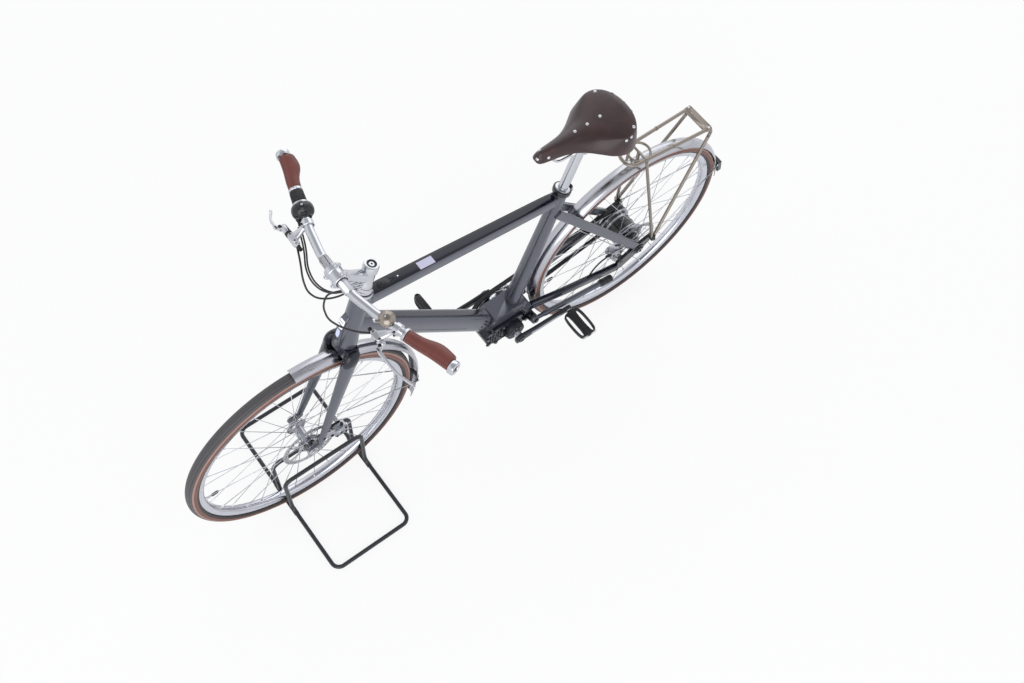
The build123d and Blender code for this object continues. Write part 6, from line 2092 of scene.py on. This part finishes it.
# ---- rear end ----
@dataclass
class RearEnd:
    """What is bolted round the rear axle: the forged ends' bosses, the axle's nuts, the brake
    body, and the rack's feet.
    """

    end_out: float = 77.0
    brake_at: tuple[float, float, float] = (80, 53, 34)

    def build(self) -> list[bpy.types.Object]:
        """Makes the fittings of the rear end.

        Returns:
            The finished pieces.
        """
        gloss, bright, dark, brake = Shape(), Shape(), Shape(), Shape()
        for side in (1, -1):
            out = LEFT * side
            face = REAR_AXLE + out * self.end_out
            gloss.lathe([(5.2, 0), (18, 0), (19, 0.8), (19, 1.8), (17.6, 2.6), (5.2, 2.6)], face,
                    out, 48, closed=True)
            bright.lathe([(0, 9), (4.4, 9), (5, 8.2), (5, 6.6), (9.4, 6.6), (10.4, 5.6),
                        (10.4, 2.6), (0, 2.6)], face, out, 6)
            dark.lathe([(10.6, 2.4), (14.2, 2.4), (14.2, 3.4), (10.6, 3.4)], face, out, 40,
                    closed=True)
            foot = at(-44, side * 82.3, 375)
            dark.stretch(foot, UP, FORWARD, ((-9, 5, 5), (-7, 7.4, 6.4), (4, 7.6, 6.6),
                        (13, 6.4, 6), (15, 5.4, 5.2)), 28, 2.6)
            bright.bolt(foot + out * 6.4, out, 4.0, 2.6)
            for x, z in ((24, 352), (62, 330)):
                gloss.lathe([(0, 1.8), (5.4, 1.4), (6.6, -0.4), (0, -0.4)],
                        at(x, side * self.end_out, z), out, 28)
        middle = REAR_AXLE + Vector(self.brake_at)
        outline = [(-22, 15), (10, 16), (22, 9), (23, -6), (15, -15), (-8, -16.4), (-20, -11),
                (-24, 0)]
        for low, deep in ((-14, 7.6), (0.4, 13.6)):
            brake.prism(outline, aligned(middle + LEFT * low, LEFT, FORWARD), deep, 2.0, 3.0, 1.0)
        brake.prism([(-6, -13), (16, -10), (20, -14), (8, -17), (-5, -17)],
                aligned(middle - LEFT * 13.6, LEFT, FORWARD), 27, 1.2)
        for x, z in ((-12, 6), (13, 4), (2, -8)):
            dark.bolt(middle + Vector((x, 14, z)), LEFT, 3.8, 2.4)
        brake.lathe([(0, 3), (7.4, 3), (9, 1.6), (9.4, -1), (0, -1)], middle + Vector((-2, 14, -1)),
                LEFT, 36)
        dark.lathe([(0, 3.8), (3.6, 3.8), (4, 2.8), (0, 2.8)], middle + Vector((-2, 14, -1)), LEFT,
                6)
        brake.loft([(aligned(middle + Vector((x, 11, z)), Vector((-0.46, 0, -0.89)), FORWARD), wide,
                        4.4)
                    for x, z, wide in ((-4, -10, 12), (-10, -22, 9), (-18, -36, 8.4),
                        (-26, -48, 9))], 28, 3)
        dark.bolt(REAR_AXLE + Vector((56, 66.4, -12)), LEFT, 5.0, 1.6)
        for step, radius in ((0, 5.2), (4, 4.6), (8, 3.8), (12, 3.2)):
            dark.lathe([(2.5, 0), (radius, 0.4), (radius, 3.2), (2.5, 3.6)],
                    middle + Vector((24.4, 9, 10))
                    + Vector((0.93, 0.0, 0.36)) * step, Vector((0.93, 0, 0.36)), 24, closed=True)
        return [piece("axle_bosses", gloss, BLACK_GLOSS, "frame"),
                piece("axle_nuts", bright, CRANK_GREY, "frame"),
                piece("rear_end_fittings", dark, BLACK_NYLON, "frame"),
                piece("rear_brake_body", brake, CAST_METAL, "frame", ["rear_caliper"])]


@dataclass
class HubBands:
    """Bright turned bands on the geared rear hub's flanges, and the lock ring over its sprocket."""

    bands: tuple = ((-38.6, -34.4, 43.6, REAR_FLANGE_R + 0.5), (24.4, 28.6, 43.6, REAR_FLANGE_R
                + 0.5), (-28, -21, 43.6, 44.7), (14, 18, 43.6, 44.7), (28.4, 34, 25.6, 31),
            (-58, -55, 19.6, 29))

    def build(self) -> list[bpy.types.Object]:
        """Makes the bands.

        Returns:
            The finished pieces.
        """
        bright = Shape()
        for low, high, inner, outer in self.bands:
            bright.lathe([(inner, low), (outer - 0.5, low), (outer, low + 0.5), (outer, high - 0.5),
                        (outer - 0.5, high), (inner, high)], REAR_AXLE, LEFT, 72, closed=True)
        return [piece("rear_hub_bands", bright, CAST_METAL, "rear_wheel")]


@dataclass
class TailLamp:
    """The red lens let into the back of the lamp's black housing, with a ribbed reflector below
    it.
    """

    place: tuple[float, float, float] = (-362, 0, 405)
    rows: int = 6

    def build(self) -> list[bpy.types.Object]:
        """Makes the lens and its rim.

        Returns:
            The finished pieces.
        """
        back = Vector((-46, 0, 8)).normalized()
        middle = at(*self.place)
        rim = Shape().stretch(middle, back, LEFT, ((-3, 18.6, 22.4), (-0.4, 18.8, 22.8),
                    (0.6, 17.8, 21.8)), 44, 4)
        lens = Shape().stretch(middle, back, LEFT, ((0, 16.2, 20.0), (1.2, 16.2, 20.0),
                    (2.2, 15.0, 18.8), (2.6, 12, 15.5)), 44, 4)
        for row in range(self.rows):
            lens.box((26, 1.6, 1.0), aligned(middle + back * 2.4 + UP * (row * 3 - 15), back, LEFT),
                    0.3, 1)
        return [piece("tail_lamp_rim", rim, BLACK_ABS, "frame", crease=60),
                piece("tail_lamp_lens", lens, RED_LENS, "frame", crease=60)]


@dataclass
class SeatClamps:
    """The collar's pinch bolt, and the cradle that holds the saddle's rails on the post."""

    cradle_z: float = 958.0
    bolt_apart: float = 28.0

    def build(self) -> list[bpy.types.Object]:
        """Makes the collar's lug and the post's cradle.

        Returns:
            The finished pieces.
        """
        lug, bright, cradle = Shape(), Shape(), Shape()
        back = (-FORWARD + SEAT_UP * SEAT_UP.x).normalized()
        root = SEAT_TOP + back * 26 - SEAT_UP * 2
        for side in (1, -1):
            lug.rod(root + LEFT * side * 2, root + LEFT * side * 9, 5.6, edge=0.8)
        bright.bolt(root + LEFT * 9, LEFT, 4.2, 3.4)
        cradle.lathe([(13.9, 3), (20.4, 3), (20.4, 6.4), (19.6, 7.4), (14.6, 9), (13.9, 8.8)],
                SEAT_TOP, SEAT_UP, 64, closed=True)
        post = SEAT_TOP + SEAT_UP * ((944 - 792) / SEAT_UP.z)
        centre = Vector((post.x, 0, self.cradle_z))
        for side in (1, -1):
            cradle.box((44, 11, 7), Matrix.Translation(centre + Vector((0, side * 20, 5))), 2)
            cradle.box((44, 11, 6), Matrix.Translation(centre + Vector((0, side * 20, -5.6))), 2)
        for step in (-self.bolt_apart / 2, self.bolt_apart / 2):
            cradle.rod(centre + Vector((step, -27, -8)), centre + Vector((step, 27, -8)), 3.0,
                    edge=0.4)
            bright.bolt(centre + Vector((step, 27, -8)), LEFT, 4.0, 3)
        return [piece("collar_lugs", lug, BLACK_GLOSS, "frame"),
                piece("collar_bolts", bright, CHROME, "frame"),
                piece("post_cradle", cradle, POLISHED, "frame")]


@dataclass
class RackFittings:
    """Cast joints where the rack's tubes meet, and the bolts of its plate and ring."""

    sleeves: tuple = ((56, 6), (272, 9), (150, 3))

    def build(self) -> list[bpy.types.Object]:
        """Makes the joints and bolts.

        Returns:
            The finished pieces.
        """
        joints, bolts = Shape(), Shape()
        for side in (1, -1):
            nose, back = at(62, side * 29, 746), at(-228, side * 43, 722)
            run = (back - nose).normalized()
            for reach, half in self.sleeves:
                joints.lathe([(4.6, -half), (5.9, 0.5 - half), (6.2, 1.5 - half), (6.2, half - 1.5),
                            (5.9, half - 0.5), (4.6, half)], nose + run * reach, run, 24,
                        closed=True)
            bolts.bolt(nose + run * 272 + UP * 5.8, UP, 3.4, 2.0)
            bolts.bolt(nose + run * 56 - UP * 5.8, -UP, 3.4, 2.0)
        return [piece("rack_joints", joints, CHAMPAGNE, "frame"),
                piece("rack_bolts", bolts, CHROME, "frame")]


# ---- front end ----
@dataclass
class FrontBrake:
    """The front brake body with its pistons, banjo and mounting bolts, and the fork's end covers.
    """

    brake_at: tuple[float, float, float] = (-88, 44, 8)
    end_out: float = 56.0

    def build(self) -> list[bpy.types.Object]:
        """Makes the fittings round the front axle.

        Returns:
            The finished pieces.
        """
        cast, dark, bright = Shape(), Shape(), Shape()
        middle = FRONT_AXLE + Vector(self.brake_at)
        outline = [(-21, 18), (4, 20), (20, 12), (22, -6), (14, -19), (-6, -20.4), (-20, -12),
                (-23, 0)]
        cast.prism(outline, aligned(middle - LEFT * 14, LEFT, FORWARD), 2.6, 0.8)
        cast.prism(outline, aligned(middle - LEFT * 4.8, LEFT, FORWARD), 17, 2.0, 3.0, 1.2)
        cast.prism([(-21, 15), (-10, 17), (-10, -16), (-19, -12), (-22, 0)],
                aligned(middle - LEFT * 13.6, LEFT, FORWARD), 25, 1.2)
        cast.lathe([(0, 3.2), (9, 3.2), (10.6, 1.6), (11, -1), (0, -1)],
                middle + Vector((1, 12, 1)), LEFT, 40)
        dark.lathe([(0, 4.2), (4.4, 4.2), (4.8, 3), (0, 3)], middle + Vector((1, 12, 1)), LEFT, 6)
        for x, z in ((-15, 10), (-14, -11), (14, -9)):
            dark.bolt(middle + Vector((x, 12.4, z)), LEFT, 3.6, 2.4)
        arm_run = Vector((60, 0, 26)).normalized()
        cast.loft([(aligned(middle + arm_run * step + LEFT * 6.5, arm_run, UP), tall, 5.6)
                    for step, tall in
                    ((8, 12), (24, 9.6), (44, 8.4), (60, 8.8), (66, 7))], 28, 3)
        dark.bolt(middle + arm_run * 30 + LEFT * 12, LEFT, 4.6, 2.6)
        dark.bolt(middle + arm_run * 56 + LEFT * 12, LEFT, 4.6, 2.6)
        for step, radius in ((0, 5.0), (4, 4.4), (8, 3.6)):
            dark.lathe([(0, 0), (radius, 0.4), (radius, 3.2), (0, 3.6)],
                    middle + Vector((-8, 3, 20 + step)), Vector((-0.2, 0, 1)).normalized(), 24)
        for side in (1, -1):
            out = LEFT * side
            face = FRONT_AXLE + out * self.end_out
            bright.lathe([(0, 8.6), (4, 8.6), (4.8, 7.8), (4.8, 6.4), (8.6, 6.4), (9.4, 5.4),
                        (9.4, 1.6), (0, 1.6)], face, out, 6)
            bright.lathe([(5.2, 0), (12.4, 0), (13, 0.6), (12.6, 1.8), (5.2, 1.8)], face, out, 40,
                    closed=True)
        return [piece("front_brake_body", cast, CAST_METAL, "steering", ["front_caliper"]),
                piece("front_brake_bolts", dark, BLACK_NYLON, "steering"),
                piece("front_axle_nuts", bright, CHROME, "steering")]


@dataclass
class Kickstand:
    """The stowed stand: a pivot boss, a tapered leg and a moulded foot with grip rings."""

    pivot: tuple[float, float, float] = (370, 62, 292)
    foot: tuple[float, float, float] = (82, 68, 249)
    axis: tuple[float, float, float] = (0.12536, -0.98858, -0.08363)

    def build(self) -> list[bpy.types.Object]:
        """Makes the leg and its foot.

        Returns:
            The finished pieces.
        """
        pivot, foot = at(*self.pivot), at(*self.foot)
        axis = Vector(self.axis).normalized()
        run = (foot - pivot).normalized()
        length = (foot - pivot).length
        leg, rubber = Shape(), Shape()
        leg.lathe([(5.1, -7), (13.2, -7), (14, -6.2), (14, 6.2), (13.2, 7), (5.1, 7)], pivot, axis,
                48, closed=True)
        leg.stretch(pivot, run, UP, ((10, 6.8, 6.4), (30, 6.8, 6.4), (38, 8.4, 8.2),
                    (120, 8.3, 8.3), (length - 46, 8.0, 8.0)), 32, 2.2)
        rubber.lathe([(0, 0), (8.6, 0), (10.6, 1.4), (11.4, 4), (11.4, 14), (10.8, 15), (10.8, 17),
                    (11.4, 18), (11.4, 24), (10.8, 25), (10.8, 27), (11.4, 28), (11.2, 40),
                    (10.4, 46), (8.4, 48), (0, 48)], foot, -run, 40)
        return [piece("kickstand_leg", leg, FRAME_GREY, "kickstand_body", ["kickstand"],
                    crease=50),
                piece("kickstand_foot", rubber, BLACK_NYLON, "kickstand_body")]



ASSEMBLIES = [
        Wheel("front", FRONT_AXLE, FRONT_TREAD, CAST_METAL, 29, 24, -30, 62, 35, 9,
            ((5.05, -40), (8.6, -40), (9, -39.6), (9, -31.5), (28.2, -31.5), (29, -30.8),
                (29, -29.2), (28.2, -28.5), (17, -28.5), (14, -24), (13.2, 0), (14, 18), (17, 22.5),
                (28.2, 22.5), (29, 23.2), (29, 24.8), (28.2, 25.5), (18, 25.5), (18, 34.9),
                (9, 34.9), (9, 42), (5.05, 42))), Wheel("rear", REAR_AXLE, REAR_TREAD, BLACK_GLOSS,
            52, 26.5, -36.5, 55, 49, 10, ((5.05, -60), (19, -60), (20, -59), (20, -49.5),
                (34, -49.5), (36, -42), (36, -38), (51, -38), (52, -37.2), (52, -35.8), (51, -35),
                (45, -35), (43, -31), (43, -6), (44.5, -5), (44.5, -3), (43, -2), (43, 21),
                (45, 25), (51, 25), (52, 25.8), (52, 27.2), (51, 28), (40, 28), (26, 33),
                (26, 48.9), (10, 48.9), (10, 60), (5.05, 60))), Mudguard("rear_mudguard", REAR_AXLE,
            MUDGUARD_R, -2, 176, "frame", 166), Mudguard("front_mudguard", FRONT_GUARD_CENTRE,
            FRONT_GUARD_R, 90, 203, "steering", 189.5), Saddle(),
        Grip(1),
        Grip(-1),
        BarEnds(),
        FrameTubes(),
        Head(),
        Stem(),
        BrakeLever(1, 193.0, 158.0, 190.0, 305.0),
        BrakeLever(-1, -149.0, -123.0, -187.0, -255.0),
        Shifter(),
        Bell(),
        Motor(),
        Cranks(),
        Pedal(1),
        Pedal(-1),
        Belt(),
        RearEnd(),
        HubBands(),
        TailLamp(),
        SeatClamps(),
        RackFittings(),
        FrontBrake(),
        Kickstand(),
        ]


# ---- studio ----
@dataclass
class Studio:
    """The floor, the soft light and the camera."""

    eye: tuple[float, float, float] = (0.97555, 1.25313, 3.34248)
    azimuth: float = 138.01
    elevation: float = 62.70
    roll: float = 5.56
    lens: float = 42.305
    floor_half: float = 14.0
    world_low: float = 1.0
    world_high: float = 0.5
    key_power: float = 110.0

    def build(self) -> None:
        """Makes everything that isn't part of the bicycle."""
        self._camera()
        self._world()
        self._floor()
        self._lamp("key", Vector((3.0, 3.8, 2.9)), 5.0, self.key_power)
        self._lamp("fill", Vector((-3.4, -3.2, 2.9)), 5.0, self.key_power * 0.45)
        view = bpy.context.scene.view_settings
        view.view_transform = "Standard"

    def _camera(self) -> None:
        """Sets the camera with its roll."""
        az, el, roll = (math.radians(value) for value in (self.azimuth, self.elevation, self.roll))
        back = Vector((math.sin(az) * math.cos(el), -math.cos(az) * math.cos(el), math.sin(el)))
        right = (-back).cross(UP).normalized()
        above = right.cross(-back)
        x_dir = right * math.cos(roll) + above * math.sin(roll)
        y_dir = above * math.cos(roll) - right * math.sin(roll)
        data = bpy.data.cameras.new("camera")
        data.sensor_width = 36.0
        data.lens = self.lens
        data.clip_end = 60.0
        camera = bpy.data.objects.new("camera", data)
        bpy.context.scene.collection.objects.link(camera)
        camera.matrix_world = Matrix.Translation(Vector(self.eye)) @ Matrix((x_dir, y_dir,
                    back)).transposed().to_4x4()
        bpy.context.scene.camera = camera

    def _world(self) -> None:
        """Lights from all round, much dimmer overhead so that glossy tops stay dark; the camera
        sees plain white.
        """
        world = bpy.data.worlds.new("studio")
        bpy.context.scene.world = world
        world.use_nodes = True
        tree = world.node_tree
        tree.nodes.clear()
        way = add_node(tree, "ShaderNodeTexCoord").outputs["Generated"]
        height = add_node(tree, "ShaderNodeSeparateXYZ", links={"Vector": way}).outputs["Z"]
        level = add_node(tree, "ShaderNodeMapRange", {"From Min": 0.55, "From Max": 0.92,
                    "To Min": self.world_low, "To Max": self.world_high}, {"Value": height})
        soft = add_node(tree, "ShaderNodeBackground", {"Color": linear("#f6f8fd")},
                {"Strength": level.outputs["Result"]})
        white = add_node(tree, "ShaderNodeBackground", {"Color": linear("#ffffff"),
                    "Strength": 1.0})
        seen = add_node(tree, "ShaderNodeLightPath").outputs["Is Camera Ray"]
        both = add_node(tree, "ShaderNodeMixShader", links={0: seen, 1: soft.outputs[0],
                    2: white.outputs[0]})
        add_node(tree, "ShaderNodeOutputWorld", links={"Surface": both.outputs[0]})

    def _floor(self) -> None:
        """A pale floor that keeps soft shadows."""
        bm = bmesh.new()
        bmesh.ops.create_grid(bm, x_segments=1, y_segments=1, size=self.floor_half)
        mesh = bpy.data.meshes.new("floor")
        bm.to_mesh(mesh)
        bm.free()
        floor = bpy.data.objects.new("floor", mesh)
        bpy.context.scene.collection.objects.link(floor)
        made = bpy.data.materials.new("white_floor")
        made.use_nodes = True
        tree = made.node_tree
        tree.nodes.clear()
        matt = add_node(tree, "ShaderNodeBsdfDiffuse", {"Color": linear("#fafafa")})
        bright = add_node(tree, "ShaderNodeEmission", {"Color": linear("#ffffff"), "Strength": 1.0})
        paths = add_node(tree, "ShaderNodeLightPath")
        share = add_node(tree, "ShaderNodeMath", {"operation": "MULTIPLY", 1: 0.85},
                {0: paths.outputs["Is Camera Ray"]})
        both = add_node(tree, "ShaderNodeMixShader", links={0: share.outputs["Value"],
                    1: matt.outputs[0], 2: bright.outputs[0]})
        add_node(tree, "ShaderNodeOutputMaterial", links={"Surface": both.outputs[0]})
        mesh.materials.append(made)

    def _lamp(self, name: str, place: Vector, size: float, power: float) -> None:
        """Hangs a square soft lamp that points at the bicycle.

        Args:
            name: the lamp's name.
            place: where it hangs, in metres.
            size: its side in metres.
            power: its power in watts.
        """
        data = bpy.data.lights.new(name, "AREA")
        data.size = size
        data.energy = power
        lamp = bpy.data.objects.new(name, data)
        bpy.context.scene.collection.objects.link(lamp)
        aim = Vector((0.0, 0.0, 0.5)) - place
        lamp.matrix_world = Matrix.Translation(place) @ aim.to_track_quat("-Z",
                "Y").to_matrix().to_4x4()


CARRIED = [
        Carried("head_tube", FRAME_GREY, 0.8),
        Carried("seat_tube", FRAME_GREY, 0.0),
        Carried("motor_bracket", FRAME_GREY, 0.0),
        Carried("drive_unit", MOTOR_CAST, 2.0),
        Carried("chainstays", NAVY_GLOSS, 0.0),
        Carried("seatstays", FRAME_GREY, 0.0),
        Carried("dropouts", BLACK_GLOSS, 1.0),
        Carried("seat_collar", BLACK_GLOSS, 0.8),
        Carried("seatpost", POLISHED, 0.4),
        Carried("saddle_rails", CHROME, 0.0),
        Carried("rear_guard_stays", BRIGHT_WIRE, 0.0),
        Carried("tail_lamp", BLACK_ABS, 1.2),
        Carried("rack_deck", CHAMPAGNE, 0.0),
        Carried("rack_rear_struts", CHAMPAGNE, 0.3),
        Carried("rack_front_struts", CHAMPAGNE, 0.3),
        Carried("drive_belt", BELT, 0.0),
        Carried("rear_axle", BRIGHT_WIRE, 0.6),
        Carried("frame_cables", HOSE, 0.0),
        Carried("kickstand_mount", BLACK_GLOSS, 1.0),
        Carried("fork_blades", FRAME_GREY, 0.8),
        Carried("front_axle", BRIGHT_WIRE, 0.6),
        Carried("handlebar", POLISHED, 0.0),
        Carried("front_guard_stays", BRIGHT_WIRE, 0.0),
        Carried("handlebar_cables", HOSE, 0.0),
        Carried("wire_stand_left", BLACK_WIRE, 0.0),
        Carried("wire_stand_right", BLACK_WIRE, 0.0),
        Carried("front_spokes", BRIGHT_WIRE, 0.0),
        Carried("rear_spokes", BRIGHT_WIRE, 0.0),
        Carried("rear_sprocket", DISC_STEEL, 0.4),
        Carried("front_sprocket", DISC_STEEL, 0.4),
        ]


def main() -> None:
    logging.basicConfig(level=logging.INFO, format="%(name)s %(message)s")
    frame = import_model()
    Studio().build()
    for assembly in ASSEMBLIES:
        LOG.info("building %s", type(assembly).__name__)
        assembly.build()
    for carried in CARRIED:
        carried.build(frame)


if __name__ == "__main__":
    main()
